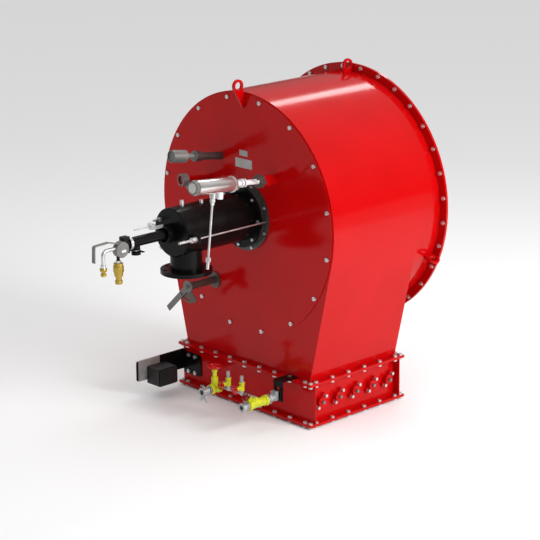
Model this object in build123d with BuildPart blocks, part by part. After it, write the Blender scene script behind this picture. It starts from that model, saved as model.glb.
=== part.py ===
from build123d import *
import os
from math import acos, atan2, cos, degrees, hypot, radians, sin

os.makedirs("parts", exist_ok=True)

# Industrial burner for a boiler front.
# Frame: the origin is on the burner axis, at the mounting face of the rear flange.
# +X is to the right seen from the front, +Y goes into the boiler, +Z is up.
# Depths named "ahead" are distances in front of the mounting face, so y = -ahead.

# Windbox: round body that runs down into a hopper
shell_radius = 768.0
shell_wall = 6.0
body_length = 944.0
hopper_back_ahead = 200.0
hopper_half_width = 560.0
hopper_drop = 189.0

# Rear flange and its screws
rear_flange_rim = 52.0
rear_flange_thickness = 16.0
rear_bolt_margin = 21.0
rear_bolt_count = 32
screw_clearance = 1.0

# Front cover
cover_edge_step = 11.0
cover_thickness = 6.0
cover_bolt_margin = 25.0
cover_bolt_count = 16
cover_seat_width = 45.0
cover_hole_gap = 42.0
cover_cut_depth = 24.0

# Hexagon screws of the flanges
flange_screw_radius = 8.0
flange_screw_flats = 24.0
flange_head_height = 10.0
flange_nut_height = 13.0
flange_thread_end = 3.0

# Damper box below the windbox
box_height = 260.0
box_wall = 6.0
flange_sheet = 8.0
flange_side_margin = 48.0
flange_front_margin = 42.0
side_bolt_margin = 18.6
front_bolt_margin = 19.7
front_row_corner_gap = 47.8
front_row_count = 9
side_row_corner_gap = 46.55
side_row_count = 6

# Damper blades, their shafts, bearings and linkage
blade_count = 5
blade_row_margin = 78.0
blade_side_gap = 7.0
blade_thickness = 6.0
blade_end_gap = 4.0
blade_hub_wall = 5.0
damper_shaft_radius = 10.0
shaft_running_gap = 0.05
shaft_end_reach = 16.0
bearing_base = 16.0
bearing_boss_height = 32.0
bearing_boss_wall = 20.0
bearing_screw_half_span = 45.0
bearing_turn = 45.0
bearing_ear_radius = 15.0
bearing_screw_flats = 18.0
bearing_screw_height = 20.0
crank_length = 62.0
crank_thickness = 12.0
crank_hub_wall = 9.0
crank_end_wall = 7.0
crank_rest_angle = 135.0
crank_pin_radius = 6.0
crank_gap = 14.0
pin_head_step = 3.0
pin_head_thickness = 2.5
pin_head_gap = 0.4
link_bar_thickness = 8.0
link_bar_wall = 7.0
link_gap = 0.6

# Actuator and its bracket
actuator_reach = 259.0
actuator_length = 150.0
actuator_height = 114.0
actuator_depth = 130.0
actuator_drop = 11.0
actuator_corner = 10.0
actuator_lid_step = 7.0
actuator_lid_height = 14.0
actuator_shaft_radius = 12.0
actuator_bore_depth = 60.0
actuator_shaft_end_gap = 1.0
actuator_plate = 12.0
actuator_plate_length = 170.0
actuator_plate_height = 135.0
actuator_plate_shift = 52.0
actuator_plate_rise = 25.0
bracket_sheet = 8.0
bracket_length = 406.0
bracket_wall_gap = 63.5
bracket_wall_rise = 21.5
bracket_corner = 14.0
bracket_foot_width = 166.0
bracket_foot_gap = 59.0
bracket_foot_drop = 1.0
bracket_screw_margin_x = 52.0
bracket_screw_margin_z = 17.0

# Gas housing, its ring on the cover and its gas branch
ring_thickness = 16.0
ring_rim = 33.0
ring_screw_count = 8
ring_screw_margin = 12.5
ring_neck_length = 20.0
neck_edge_step = 8.0
housing_radius = 150.0
housing_wall = 8.0
housing_length = 550.0
housing_flange_rim = 44.0
housing_flange_thickness = 17.0
housing_screw_count = 8
housing_screw_margin = 18.0
end_plate_thickness = 12.0
end_plate_round = 8.0
small_screw_flats = 17.0
small_screw_height = 8.0
branch_front_gap = 9.15
branch_radius = 96.85
branch_wall = 7.0
branch_end_step = 6.0
branch_drop = 115.0
gas_flange_rim = 60.65
gas_flange_thickness = 24.0
gas_flange_bolt_margin = 22.5
gas_flange_hole_radius = 11.0
gas_flange_hole_count = 8

# Test stubs on top of the housing and the swing bolts of its end plate
stub_radius = 12.0
front_stub_x = 0.0
front_stub_setback = 81.0
front_stub_height = 35.0
rear_stub_x = 20.0
rear_stub_setback = 216.0
rear_stub_height = 18.0
swing_bolt_radius = 7.0
swing_bolt_turn = 225.0
swing_bolt_gap = 8.0
swing_bolt_length = 130.0
swing_bolt_front_gap = 14.0
swing_ball_radius = 14.0
swing_nut_flats = 22.0
swing_nut_length = 24.0
swing_nut_setback = 70.0
swing_lug_length = 20.0
end_stud_x = -86.0
end_stud_z = 70.0
end_stud_radius = 8.0
end_stud_length = 62.0
end_stud_nut_height = 14.0

# Oil lance down the middle of the housing
guide_gap = 3.0
guide_wall = 5.0
guide_pipe_gap = 1.0
guide_back_ahead = 215.0
lance_running_gap = 0.06
lance_radius = 31.0
lance_wall = 4.0
lance_reach = 297.0
lance_back_ahead = 165.0
nozzle_length = 40.0
nozzle_tip_radius = 14.0
collar_wall = 26.0
collar_length = 60.0
collar_bore_gap = 15.0
collar_bore_depth = 42.0

# Arm, clamp block, ball and feeler rod that stand on the lance's collar
arm_thickness = 10.0
arm_length = 98.0
arm_height = 18.0
block_side = 30.0
block_rise = 16.0
ball_radius = 15.0
feeler_radius = 5.0
feeler_length = 136.0
feeler_drop = 8.0

# Fittings at the front end of the lance
yoke_ring_setback = 43.0
yoke_ring_thickness = 16.0
yoke_ring_rim = 9.0
yoke_saddle_length = 62.0
yoke_saddle_width = 40.0
yoke_saddle_drop = 17.0
head_block_width = 44.0
head_block_length = 44.0
head_block_low = -52.0
head_block_high = 46.0
head_disc_gap = 18.0
head_disc_drop = 20.0
head_disc_radius = 47.5
head_disc_thickness = 36.0
head_disc_x = -5.0
fuel_pipe_radius = 11.0
fuel_pipe_x = 12.0
fuel_pipe_reach = 132.0
fuel_pipe_height = -8.0
fuel_pipe_bend = 30.0
fuel_pipe_drop = 91.0
fuel_neck_wall = 3.0
fuel_neck_height = 8.0
fuel_ball_wall = 10.0
fuel_ball_height = 24.0
fuel_tail_wall = 6.0
fuel_tail_height = 18.0
stem_x = 14.0
stem_shift = 22.0
stem_radius = 10.0
stem_drop = 78.0
coupling_body_wall = 20.0
coupling_body_height = 60.0
coupling_foot_wall = 15.0
coupling_foot_height = 30.0
coupling_neck_wall = 7.0
coupling_neck_height = 12.0
coupling_tail_wall = 12.0
coupling_tail_height = 24.0
handle_width = 26.0
handle_thickness = 6.0
handle_bend = 12.0
handle_start_rise = 32.0
handle_corner_reach = 94.0
handle_corner_rise = 58.0
handle_far_reach = 197.0
handle_far_rise = 54.0
handle_tip_shift = 4.0
handle_tip_drop = 44.0
knob_setback = 89.0
knob_gap = 0.3
knob_radius = 28.0
knob_height = 16.0
knob_neck_radius = 20.0
knob_neck_height = 10.0
knob_washer_radius = 24.0
knob_washer_height = 4.0
knob_tab_length = 70.0
knob_tab_width = 20.0
knob_stem_radius = 6.0
knob_stem_depth = 12.0
knob_bore_depth = 13.0

# Gas pipe inside the windbox
gas_pipe_radius = 110.0
gas_pipe_wall = 6.0
gas_pipe_back_ahead = 190.0
gas_pipe_flange_gap = 0.4
gas_pipe_flange_thickness = 10.0
gas_spud_count = 8
gas_spud_radius = 9.0
gas_spud_length = 35.0
gas_spud_margin = 21.0

# Air throat with its windows and shutter
throat_plate_ahead = 30.0
throat_plate_thickness = 6.0
throat_radius = 400.0
throat_wall = 6.0
throat_front_margin = 60.0
register_rim = 80.0
window_count = 12
window_width_angle = 14.0
window_start_ahead = 120.0
window_length = 240.0
shutter_gap = 1.5
shutter_wall = 5.0
shutter_running_gap = 0.08
shutter_band_width = 12.0
shutter_band_inset = 6.0
shutter_margin = 30.0

# Swirler and the rod that sets it
swirler_edge = 36.0
swirler_plate = 6.0
swirler_ahead = 260.0
swirler_vane_count = 12
swirler_length = 50.0
swirler_hub_wall = 6.0
swirler_rim_wall = 5.0
swirler_ring_overlap = 12.0
swirler_vane_angle = 38.0
swirler_vane_thickness = 4.0
swirler_slide_gap = 0.6
rod_flange_gap = 1.0
rod_z = -6.0
rod_radius = 5.0
rod_reach = 119.0
rod_thread_radius = 8.0
rod_thread_length = 95.0
rod_nut_flats = 30.0
rod_nut_length = 39.0
rod_ear_thickness = 12.0
rod_ear_width = 40.0
rod_ear_margin = 28.0
rod_ear_sink = 10.0
rod_bore_gap = 0.1

# Quadrant lever that turns the air shutter
quadrant_x = -285.0
quadrant_z = -473.0
quadrant_length = 222.0
quadrant_shaft_radius = 12.0
quadrant_shaft_reach = 28.0
quadrant_tube_wall = 11.5
quadrant_foot_rim = 29.0
quadrant_foot_thickness = 10.0
quadrant_plate_rim = 14.0
sector_thickness = 6.0
sector_radius = 106.0
sector_start_angle = 214.0
sector_span_angle = 101.0
sector_slot_margin = 18.0
sector_slot_end = 2.0
lock_pin_radius = 4.0
lock_pin_gap = 0.6
lock_pin_end = 4.0
lock_nut_flats = 18.0
lock_nut_height = 8.0
lever_thickness = 8.0
lever_gap = 1.0
lever_length = 262.0
lever_angle = 223.6
lever_half_travel = 25.0
lever_width = 36.0
lever_hub_radius = 38.0
shutter_pin_reach = 20.0
shutter_crank_thickness = 10.0
shutter_crank_width = 34.0
shutter_pin_radius = 8.0
shutter_pin_play = 1.9
shutter_pin_end = 3.0
shutter_ear_thickness = 8.0
shutter_ear_width = 44.0
shutter_ear_margin = 28.0

# Lifting lugs
lug_thickness = 15.0
lug_ring_wall = 15.0
lug_eye_radius = 25.0
front_lug_reach = 46.0
front_lug_rise = 53.0
front_lug_depth = 85.0
front_lug_tip = 14.0
front_lug_shoulder = 36.0
front_lug_shoulder_drop = 17.2
rear_lug_gap = 1.0
rear_lug_rise = 48.0
rear_lug_shoulder = 38.0
rear_lug_shoulder_rise = 12.0
rear_lug_foot_rise = 5.0
rear_lug_sink = 10.0
side_lug_angle = 112.5

# Fittings on the cover: place on the cover's face, and tilt of the front end away from the axis
igniter_angle = 45.0
igniter_swirler_gap = 4.84
igniter_end_ahead = 261.0
igniter_tilt = 10.1
igniter_tube_radius = 34.0
igniter_tube_wall = 5.0
igniter_socket_length = 130.0
socket_inside = 20.0
igniter_clamp_rim = 7.0
igniter_clamp_length = 30.0
igniter_pipe_radius = 16.0
igniter_collar_start = 285.0
igniter_collar_length = 36.0
igniter_collar_rim = 10.0
igniter_case_start = 394.0
igniter_case_length = 328.0
igniter_case_radius = 45.0
igniter_rim_length = 10.0
igniter_rim_step = 4.0
igniter_cap_length = 24.0
igniter_cap_step = 7.0
cock_turn = 45.0
cock_pivot_radius = 9.0
cock_pivot_height = 8.0
cock_pivot_sink = 3.0
cock_gap = 0.4
cock_lever_thickness = 7.0
cock_lever_width = 14.0
cock_foot_reach = 34.0
cock_bend_reach = 16.0
cock_bend_rise = 26.0
cock_tip_reach = 34.0
pilot_start = 560.0
pilot_turn = 45.0
pilot_gland_radius = 18.0
pilot_gland_height = 26.0
pilot_pipe_radius = 7.0
pilot_pipe_length = 422.0
pilot_nut_flats = 26.0
pilot_nut_height = 26.0
pilot_nozzle_radius = 9.0
pilot_nozzle_length = 44.0
scanner_x = -210.5
scanner_z = 338.2
scanner_tilt = 9.1
scanner_tube_radius = 24.0
scanner_tube_wall = 4.0
scanner_tube_length = 169.0
scanner_ring_length = 38.0
scanner_ring_rim = 9.0
scanner_neck_radius = 17.0
scanner_neck_length = 69.0
scanner_cup_length = 105.0
scanner_cup_radius = 39.0
scanner_face_rim = 6.0
scanner_face_depth = 8.0
sight_x = -325.5
sight_z = 180.2
sight_tilt = 8.0
sight_tube_radius = 21.0
sight_tube_wall = 4.0
sight_tube_length = 172.0
sight_flange_length = 41.0
sight_flange_rim = 14.0
sight_glass_rim = 5.0
sight_glass_thickness = 10.0
sight_glass_inset = 12.0
small_plate_x = -5.0
small_plate_z = 387.0
small_plate_length = 72.0
small_plate_height = 35.0
large_plate_x = -4.0
large_plate_z = 323.0
large_plate_length = 148.0
large_plate_height = 57.0
plate_sheet = 2.0

# Fuel valve train in front of the damper box
train_drop = 83.0
steam_line_drop = 91.0
oil_line_x = 40.0
steam_line_shift = 12.0
cross_pipe_reach = 236.0
cross_pipe_radius = 11.0
cross_tee_margin = 3.0
line_pipe_radius = 13.0
line_union_radius = 21.0
rear_spool_length = 37.0
front_spool_length = 23.0
valve_body_radius = 26.0
valve_body_half = 36.0
bonnet_foot_height = 75.0
coupler_wall = 8.0
coupler_length = 50.0
coupler_bore_radius = 16.0
coupler_bore_depth = 40.0
coupler_lip_length = 12.0
coupler_lip_step = 4.0
coupler_ear_reach = 14.0
coupler_ear_width = 14.0
foot_sheet = 8.0
foot_top_half = 14.0
foot_spread = 36.0
foot_drop = 62.0
foot_leg_width = 12.0
wheel_wire_radius = 4.0
wheel_spoke_thickness = 4.0
wheel_spoke_width = 7.0
wheel_spoke_count = 4
wheel_hub_half = 6.0
wheel_hub_radius = 9.0
wheel_stem_gap = 0.05
stem_bore_depth = 30.0
stem_bore_end_gap = 2.0
oil_wheel_radius = 42.0
oil_wheel_gap = 18.0
oil_bonnet_rise = 125.0
oil_stem_radius = 5.0
trim_left_x = 105.0
trim_right_x = 228.0
trim_pipe_radius = 12.0
trim_shift = 20.0
trim_rise = 37.0
trim_body_radius = 16.0
trim_body_height = 52.0
trim_cap_radius = 11.0
trim_cap_height = 42.0
trim_bonnet_radius = 9.75
trim_bonnet_length = 46.0
trim_wheel_gap = 14.0
trim_wheel_radius = 25.0
trim_stem_radius = 4.0
steam_wheel_radius = 30.0
steam_wheel_tilt = 45.0
steam_bonnet_length = 73.0
steam_wheel_gap = 22.0
steam_body_radius = 27.0
steam_body_length = 150.0
drain_setback = 60.0
drain_radius = 12.0
drain_length = 50.0
steam_union_length = 60.0
steam_union_radius = 24.0
steam_tail_length = 40.0
steam_block_side = 44.0
steam_block_rise = 12.0
block_hanger_gap = 4.0
hanger_column = 7
hanger_shift = 5.8
hanger_width = 76.0
hanger_reach = 86.0
hanger_drop = 125.0
hanger_sheet = 8.0
hanger_lap = 42.0
hanger_hole_radius = 14.0
hanger_hole_drop = 44.0

# Sizes of the windbox and its flanges worked out from the driving dimensions
inner_radius = shell_radius - shell_wall
axis_to_box_top = shell_radius + hopper_drop
rear_flange_radius = shell_radius + rear_flange_rim
rear_bolt_circle_radius = rear_flange_radius - rear_bolt_margin
cover_radius = shell_radius - cover_edge_step
cover_bolt_circle_radius = cover_radius - cover_bolt_margin
front_opening_radius = cover_radius - cover_seat_width
cover_face_ahead = body_length + cover_thickness
box_bottom_z = -(axis_to_box_top + box_height)
counter_flange_bottom_z = box_bottom_z - flange_sheet
base_flange_top_z = -axis_to_box_top + flange_sheet
hopper_reach = hypot(hopper_half_width, axis_to_box_top)
hopper_tangent = atan2(axis_to_box_top, hopper_half_width) - acos(shell_radius / hopper_reach)
duct_depth = body_length - hopper_back_ahead
duct_centre_y = -(body_length + hopper_back_ahead) / 2
flange_half_width = hopper_half_width + flange_side_margin
flange_half_depth = duct_depth / 2 + flange_front_margin
flange_front_ahead = body_length + flange_front_margin
flange_bolt_half_x = flange_half_width - side_bolt_margin
flange_bolt_half_y = flange_half_depth - front_bolt_margin
front_row_pitch = 2 * (flange_bolt_half_x - front_row_corner_gap) / (front_row_count - 1)
side_row_pitch = 2 * (flange_bolt_half_y - side_row_corner_gap) / (side_row_count - 1)
front_columns = [(i - (front_row_count - 1) / 2) * front_row_pitch for i in range(front_row_count)]
lug_ring_radius = lug_eye_radius + lug_ring_wall
front_lug_eye_ahead = cover_face_ahead + front_lug_reach
front_lug_eye_z = cover_radius + front_lug_rise
front_lug_tip_z = cover_radius - front_lug_depth
rear_lug_eye_ahead = rear_flange_thickness + lug_ring_radius + rear_lug_gap
rear_lug_eye_height = shell_radius + rear_lug_rise
rear_lug_foot_ahead = rear_lug_eye_ahead + lug_ring_radius

# Sizes of the dampers and the actuator
shaft_z = -axis_to_box_top - box_height / 2
blade_pitch = (duct_depth - 2 * blade_row_margin) / (blade_count - 1)
blade_width = blade_pitch - blade_side_gap
blade_half_length = hopper_half_width - box_wall - blade_end_gap
blade_hub_radius = damper_shaft_radius + blade_hub_wall
blade_y = [duct_centre_y + (i - (blade_count - 1) / 2) * blade_pitch for i in range(blade_count)]
bearing_boss_radius = damper_shaft_radius + bearing_boss_wall
bearing_face_x = hopper_half_width + bearing_boss_height
shaft_right_end = bearing_face_x + shaft_end_reach
crank_hub_radius = damper_shaft_radius + crank_hub_wall
crank_end_radius = crank_pin_radius + crank_end_wall
crank_rest_y = crank_length * cos(radians(crank_rest_angle))
crank_rest_z = crank_length * sin(radians(crank_rest_angle))
crank_inner_x = -(bearing_face_x + crank_gap)
link_inner_x = crank_inner_x - crank_thickness - link_gap
pin_head_radius = crank_pin_radius + pin_head_step
link_bar_half_height = crank_pin_radius + link_bar_wall
actuator_shaft_ahead = body_length + actuator_reach
actuator_face_x = -bearing_face_x + actuator_plate
bracket_wall_height = box_height - 2 * bracket_wall_gap
bracket_foot_height = box_height - 2 * bracket_foot_gap
bracket_foot_x = -bearing_face_x - bracket_sheet + bracket_foot_width / 2
bracket_foot_z = shaft_z - bracket_foot_drop

# Sizes of the gas housing, the lance and the setting rod
housing_flange_radius = housing_radius + housing_flange_rim
housing_bolt_circle_radius = housing_flange_radius - housing_screw_margin
ring_neck_radius = housing_flange_radius - neck_edge_step
ring_radius = ring_neck_radius + ring_rim
ring_bolt_circle_radius = ring_radius - ring_screw_margin
ring_front_ahead = cover_face_ahead + ring_thickness
neck_front_ahead = ring_front_ahead + ring_neck_length
housing_face_ahead = neck_front_ahead + housing_flange_thickness
housing_front_ahead = neck_front_ahead + housing_length
end_plate_front_ahead = housing_front_ahead + end_plate_thickness
branch_ahead = housing_front_ahead - branch_radius - branch_front_gap
gas_flange_face = housing_radius + branch_drop
gas_flange_radius = branch_radius + gas_flange_rim
gas_flange_bolt_circle_radius = gas_flange_radius - gas_flange_bolt_margin
cover_hole_radius = gas_pipe_radius + cover_hole_gap
gas_pipe_flange_radius = cover_hole_radius - gas_pipe_flange_gap
gas_spud_circle_radius = gas_pipe_radius - gas_spud_margin - gas_spud_radius
guide_bore_radius = lance_radius + guide_gap
guide_radius = guide_bore_radius + guide_wall
collar_front_ahead = end_plate_front_ahead + collar_length
lance_front_ahead = collar_front_ahead + lance_reach
yoke_ring_ahead = lance_front_ahead - yoke_ring_setback
yoke_saddle_ahead = yoke_ring_ahead - yoke_saddle_length
knob_ahead = lance_front_ahead - knob_setback
head_block_start = yoke_ring_ahead + yoke_ring_thickness
head_disc_ahead = head_block_start + head_block_length + head_disc_gap
fuel_pipe_front_ahead = head_disc_ahead + fuel_pipe_reach
fuel_pipe_end_z = fuel_pipe_height - fuel_pipe_drop
stem_ahead = head_disc_ahead + stem_shift
stem_end_z = -head_disc_drop - stem_drop
rod_x = housing_flange_radius + rod_radius + rod_flange_gap
rod_front_ahead = housing_front_ahead + rod_reach
rod_nut_start = rod_front_ahead - rod_thread_length - rod_nut_length
rod_ear_start = rod_nut_start - rod_ear_thickness
rod_ear_end_x = rod_x + rod_ear_margin

# Sizes of the swirler, the throat and the quadrant
swirler_radius = rod_x + swirler_edge
swirler_ring_inner_radius = rod_x - swirler_ring_overlap
swirler_bore_radius = gas_pipe_radius + swirler_slide_gap
window_front_ahead = window_start_ahead + window_length
throat_front_ahead = window_front_ahead + throat_front_margin
shutter_inner_radius = throat_radius + shutter_gap
shutter_back_ahead = window_start_ahead - shutter_margin
shutter_front_ahead = window_front_ahead + shutter_margin
shutter_pin_circle_radius = throat_radius + shutter_pin_reach
quadrant_tube_radius = quadrant_shaft_radius + quadrant_tube_wall
quadrant_foot_radius = quadrant_tube_radius + quadrant_foot_rim
quadrant_front_ahead = cover_face_ahead + quadrant_length
quadrant_turn = degrees(atan2(quadrant_z, quadrant_x))
shutter_crank_length = hypot(quadrant_x, quadrant_z) - shutter_pin_circle_radius
shutter_crank_turn = quadrant_turn + 180 - lever_half_travel
shutter_pin_x = quadrant_x + shutter_crank_length * cos(radians(shutter_crank_turn))
shutter_pin_z = quadrant_z + shutter_crank_length * sin(radians(shutter_crank_turn))
shutter_pin_turn = degrees(atan2(shutter_pin_z, shutter_pin_x))
sector_slot_radius = sector_radius - sector_slot_margin
lever_back_ahead = quadrant_front_ahead + lever_gap

# Sizes of the fittings on the cover
igniter_lean = radians(igniter_tilt)
igniter_inside = (cover_face_ahead - igniter_end_ahead) / cos(igniter_lean)
igniter_end_reach = swirler_radius + igniter_swirler_gap + igniter_pipe_radius / cos(igniter_lean)
igniter_reach = igniter_end_reach + igniter_inside * sin(igniter_lean)
igniter_x = igniter_reach * cos(radians(igniter_angle))
igniter_z = igniter_reach * sin(radians(igniter_angle))
igniter_clamp_radius = igniter_tube_radius + igniter_clamp_rim
igniter_case_end = igniter_case_start + igniter_case_length
igniter_cap_radius = igniter_case_radius - igniter_cap_step
scanner_ring_radius = scanner_tube_radius + scanner_ring_rim
scanner_ring_end = scanner_tube_length + scanner_ring_length
scanner_cup_start = scanner_ring_end + scanner_neck_length
sight_glass_radius = sight_tube_radius + sight_glass_rim
sight_flange_radius = sight_glass_radius + sight_flange_rim
sight_flange_end = sight_tube_length + sight_flange_length
sight_glass_start = sight_flange_end - sight_glass_inset - sight_glass_thickness

# Sizes of the fuel valve train
train_z = -axis_to_box_top - train_drop
steam_line_z = -axis_to_box_top - steam_line_drop
hanger_x = front_columns[hanger_column] + hanger_shift
hanger_face_ahead = flange_front_ahead + hanger_reach
hanger_head_hole_radius = flange_screw_flats / 3**0.5 + screw_clearance
steam_line_x = hanger_x - steam_line_shift
cross_pipe_ahead = body_length + cross_pipe_reach
valve_back = cross_pipe_ahead + rear_spool_length
valve_ahead = valve_back + valve_body_half
valve_front = valve_ahead + valve_body_half
coupler_start = valve_front + front_spool_length
coupler_mouth_ahead = coupler_start + coupler_length
coupler_radius = coupler_bore_radius + coupler_wall
stem_depth = stem_bore_depth - stem_bore_end_gap
bonnet_top_z = train_z + oil_bonnet_rise
oil_wheel_z = bonnet_top_z + oil_wheel_gap
trim_valve_ahead = cross_pipe_ahead + trim_shift
trim_valve_z = train_z + trim_rise
trim_bonnet_ahead = trim_valve_ahead + trim_bonnet_length
trim_wheel_ahead = trim_bonnet_ahead + trim_wheel_gap
trim_top_z = trim_valve_z - trim_body_radius + trim_body_height
steam_body_back = coupler_start - steam_body_length
steam_union_start = steam_body_back - steam_union_length
steam_back_ahead = hanger_face_ahead + block_hanger_gap - steam_tail_length
drain_ahead = steam_body_back + drain_setback


def save(piece, name):
    piece.part.label = name
    export_step(piece.part, f"parts/{name}.step")


def body_profile(radius):
    """The windbox seen from the front: a circle that runs into two slanted hopper sides."""
    foot_x = (radius - axis_to_box_top * sin(hopper_tangent)) / cos(hopper_tangent)
    turn = degrees(hopper_tangent)
    with BuildLine() as outline:
        arc = CenterArc((0, 0), radius, -turn, 180 + 2 * turn)
        Polyline(arc @ 1, (-foot_x, -axis_to_box_top), (foot_x, -axis_to_box_top), arc @ 0)
    make_face(outline.line.edges())


def hexagons(flats):
    RegularPolygon(flats / 2, 6, major_radius=False)


def flange_bolt_places():
    """Screw places round the damper box flange, seen from above."""
    columns = front_columns + [-flange_bolt_half_x, flange_bolt_half_x]
    rows = [(i - (side_row_count - 1) / 2) * side_row_pitch for i in range(side_row_count)]
    places = [(x, duct_centre_y + side * flange_bolt_half_y) for x in columns for side in (-1, 1)]
    places += [(side * flange_bolt_half_x, duct_centre_y + y) for y in rows for side in (-1, 1)]
    return places


def flange_frame():
    """The rectangular flange round the damper box, with its opening."""
    with Locations((0, duct_centre_y)):
        Rectangle(2 * flange_half_width, 2 * flange_half_depth)
        Rectangle(2 * (hopper_half_width - box_wall), duct_depth - 2 * box_wall, mode=Mode.SUBTRACT)


def radial_plane(turn):
    """Plane through the burner axis, turned from the top: it shows depth and distance from the axis."""
    return Plane(origin=(0, 0, 0), x_dir=(0, 1, 0), z_dir=(cos(radians(turn)), 0, -sin(radians(turn))))


def fitting_plane(x, z, tilt):
    """Plane on the cover's face that looks out along a fitting leaning away from the axis."""
    reach = hypot(x, z)
    lean = sin(radians(tilt))
    outward = (lean * x / reach, -cos(radians(tilt)), lean * z / reach)
    return Plane(origin=(x, -cover_face_ahead, z), x_dir=(z / reach, 0, -x / reach), z_dir=outward)


def radial_wedge(radius, start_angle, span_angle):
    """Filled sector of a circle between two directions."""
    Circle(radius)
    far = 2 * radius
    corners = [(0, 0)]
    for share in (0, 0.5, 1):
        direction = radians(start_angle + share * span_angle)
        corners.append((far * cos(direction), far * sin(direction)))
    Polygon(*corners, align=None, mode=Mode.INTERSECT)


def window_rays():
    """The sectors of the register windows, cut outward from the burner axis."""
    far = 2 * throat_radius
    half = radians(window_width_angle / 2)
    with PolarLocations(0, window_count):
        Polygon((0, 0), (far * cos(half), -far * sin(half)), (far * cos(half), far * sin(half)), align=None)


def downward_plane(x, ahead, z):
    """Plane that looks down from a point below the lance."""
    return Plane(origin=(x, -ahead, z), x_dir=(1, 0, 0), z_dir=(0, 0, -1))


def head_disc(mode=Mode.ADD):
    """The round manifold at the front end of the lance."""
    with BuildSketch(Plane.YZ.offset(head_disc_x)) as disc:
        with Locations((-head_disc_ahead, -head_disc_drop)):
            Circle(head_disc_radius)
    extrude(disc.sketch, amount=head_disc_thickness, mode=mode)


def step(plane, start, length, radius):
    """One round step along the plane's normal."""
    with BuildSketch(plane.offset(start)) as disc:
        Circle(radius)
    extrude(disc.sketch, amount=length)


def ball_end(x, ahead, z, radius):
    """Ball at the end of a bolt or arm, turned about an axis that points to the front."""
    centre = (x, -ahead, z)
    with BuildSketch(Plane(origin=centre, x_dir=(1, 0, 0), z_dir=(0, 0, 1))) as half_outline:
        RegularPolygon(radius, 8, rotation=22.5)
        Rectangle(radius, 2 * radius, align=(Align.MIN, Align.CENTER), mode=Mode.INTERSECT)
    revolve(half_outline.sketch, axis=Axis(centre, (0, 1, 0)))


def crank(y, z, start_x):
    """Crank arm with its pin and pin head on the left side of the damper box."""
    pin = (y + crank_rest_y, z + crank_rest_z)
    pin_end_x = link_inner_x - link_bar_thickness - pin_head_gap
    with BuildSketch(Plane.YZ.offset(start_x)) as arm:
        with Locations((y, z)):
            Circle(crank_hub_radius)
        with Locations((y + crank_rest_y / 2, z + crank_rest_z / 2)):
            SlotCenterToCenter(crank_length, 2 * crank_end_radius, rotation=crank_rest_angle)
    extrude(arm.sketch, amount=-crank_thickness)
    with BuildSketch(Plane.YZ.offset(pin_end_x)) as crank_pin:
        with Locations(pin):
            Circle(crank_pin_radius)
    extrude(crank_pin.sketch, amount=start_x - crank_thickness - pin_end_x)
    with BuildSketch(Plane.YZ.offset(pin_end_x)) as pin_head:
        with Locations(pin):
            Circle(pin_head_radius)
    extrude(pin_head.sketch, amount=-pin_head_thickness)


def handwheel(plane, rim_radius, stem_radius, stem_length):
    """Handwheel on its stem: the plane's origin is the wheel's centre, its normal points outward."""
    with BuildSketch(Plane(origin=plane.origin, x_dir=plane.x_dir, z_dir=plane.y_dir)) as wire:
        with Locations((rim_radius, 0)):
            RegularPolygon(wheel_wire_radius, 6)
    revolve(wire.sketch, axis=Axis(plane.origin, plane.z_dir))
    with BuildSketch(plane.offset(-wheel_spoke_thickness / 2)) as spokes:
        with PolarLocations(0, wheel_spoke_count):
            Rectangle(rim_radius, wheel_spoke_width, align=(Align.MIN, Align.CENTER))
    extrude(spokes.sketch, amount=wheel_spoke_thickness)
    step(plane, -wheel_hub_half, 2 * wheel_hub_half, wheel_hub_radius)
    step(plane, -stem_length, stem_length, stem_radius)


# Windbox shell: round body, hopper, front wall, the hopper's back wall and the flange at its foot
with BuildPart() as windbox_shell:
    with BuildSketch(Plane.XZ):
        Circle(shell_radius)
    extrude(amount=hopper_back_ahead)
    with BuildSketch(Plane.XZ.offset(hopper_back_ahead)):
        body_profile(shell_radius)
    extrude(amount=duct_depth)
    with BuildSketch(Plane.XY.offset(-axis_to_box_top)):
        with Locations((0, duct_centre_y)):
            Rectangle(2 * flange_half_width, 2 * flange_half_depth)
    extrude(amount=flange_sheet)
    with BuildSketch(Plane.XZ):
        Circle(inner_radius)
    extrude(amount=hopper_back_ahead + shell_wall, mode=Mode.SUBTRACT)
    with BuildSketch(Plane.XZ.offset(hopper_back_ahead + shell_wall)):
        body_profile(inner_radius)
    extrude(amount=duct_depth - 2 * shell_wall, mode=Mode.SUBTRACT)
    with BuildSketch(Plane.XZ.offset(body_length)):
        Circle(front_opening_radius)
    extrude(amount=-shell_wall, mode=Mode.SUBTRACT)
save(windbox_shell, "windbox_shell")

# Rear flange with its screw holes
with BuildPart() as rear_flange:
    with BuildSketch(Plane.XZ):
        Circle(rear_flange_radius)
        Circle(shell_radius, mode=Mode.SUBTRACT)
        with PolarLocations(rear_bolt_circle_radius, rear_bolt_count, start_angle=180 / rear_bolt_count):
            Circle(flange_screw_radius + screw_clearance, mode=Mode.SUBTRACT)
    extrude(amount=rear_flange_thickness)
save(rear_flange, "rear_flange")

# Screws and nuts of the rear flange
with BuildPart() as rear_flange_bolts:
    with BuildSketch(Plane.XZ.offset(rear_flange_thickness)):
        with PolarLocations(rear_bolt_circle_radius, rear_bolt_count, start_angle=180 / rear_bolt_count):
            hexagons(flange_screw_flats)
    extrude(amount=flange_head_height)
    with BuildSketch(Plane.XZ.offset(rear_flange_thickness)):
        with PolarLocations(rear_bolt_circle_radius, rear_bolt_count, start_angle=180 / rear_bolt_count):
            Circle(flange_screw_radius)
    extrude(amount=-(rear_flange_thickness + flange_nut_height + flange_thread_end))
    with BuildSketch(Plane.XZ):
        with PolarLocations(rear_bolt_circle_radius, rear_bolt_count, start_angle=180 / rear_bolt_count):
            hexagons(flange_screw_flats)
    extrude(amount=-flange_nut_height)
save(rear_flange_bolts, "rear_flange_bolts")

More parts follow.
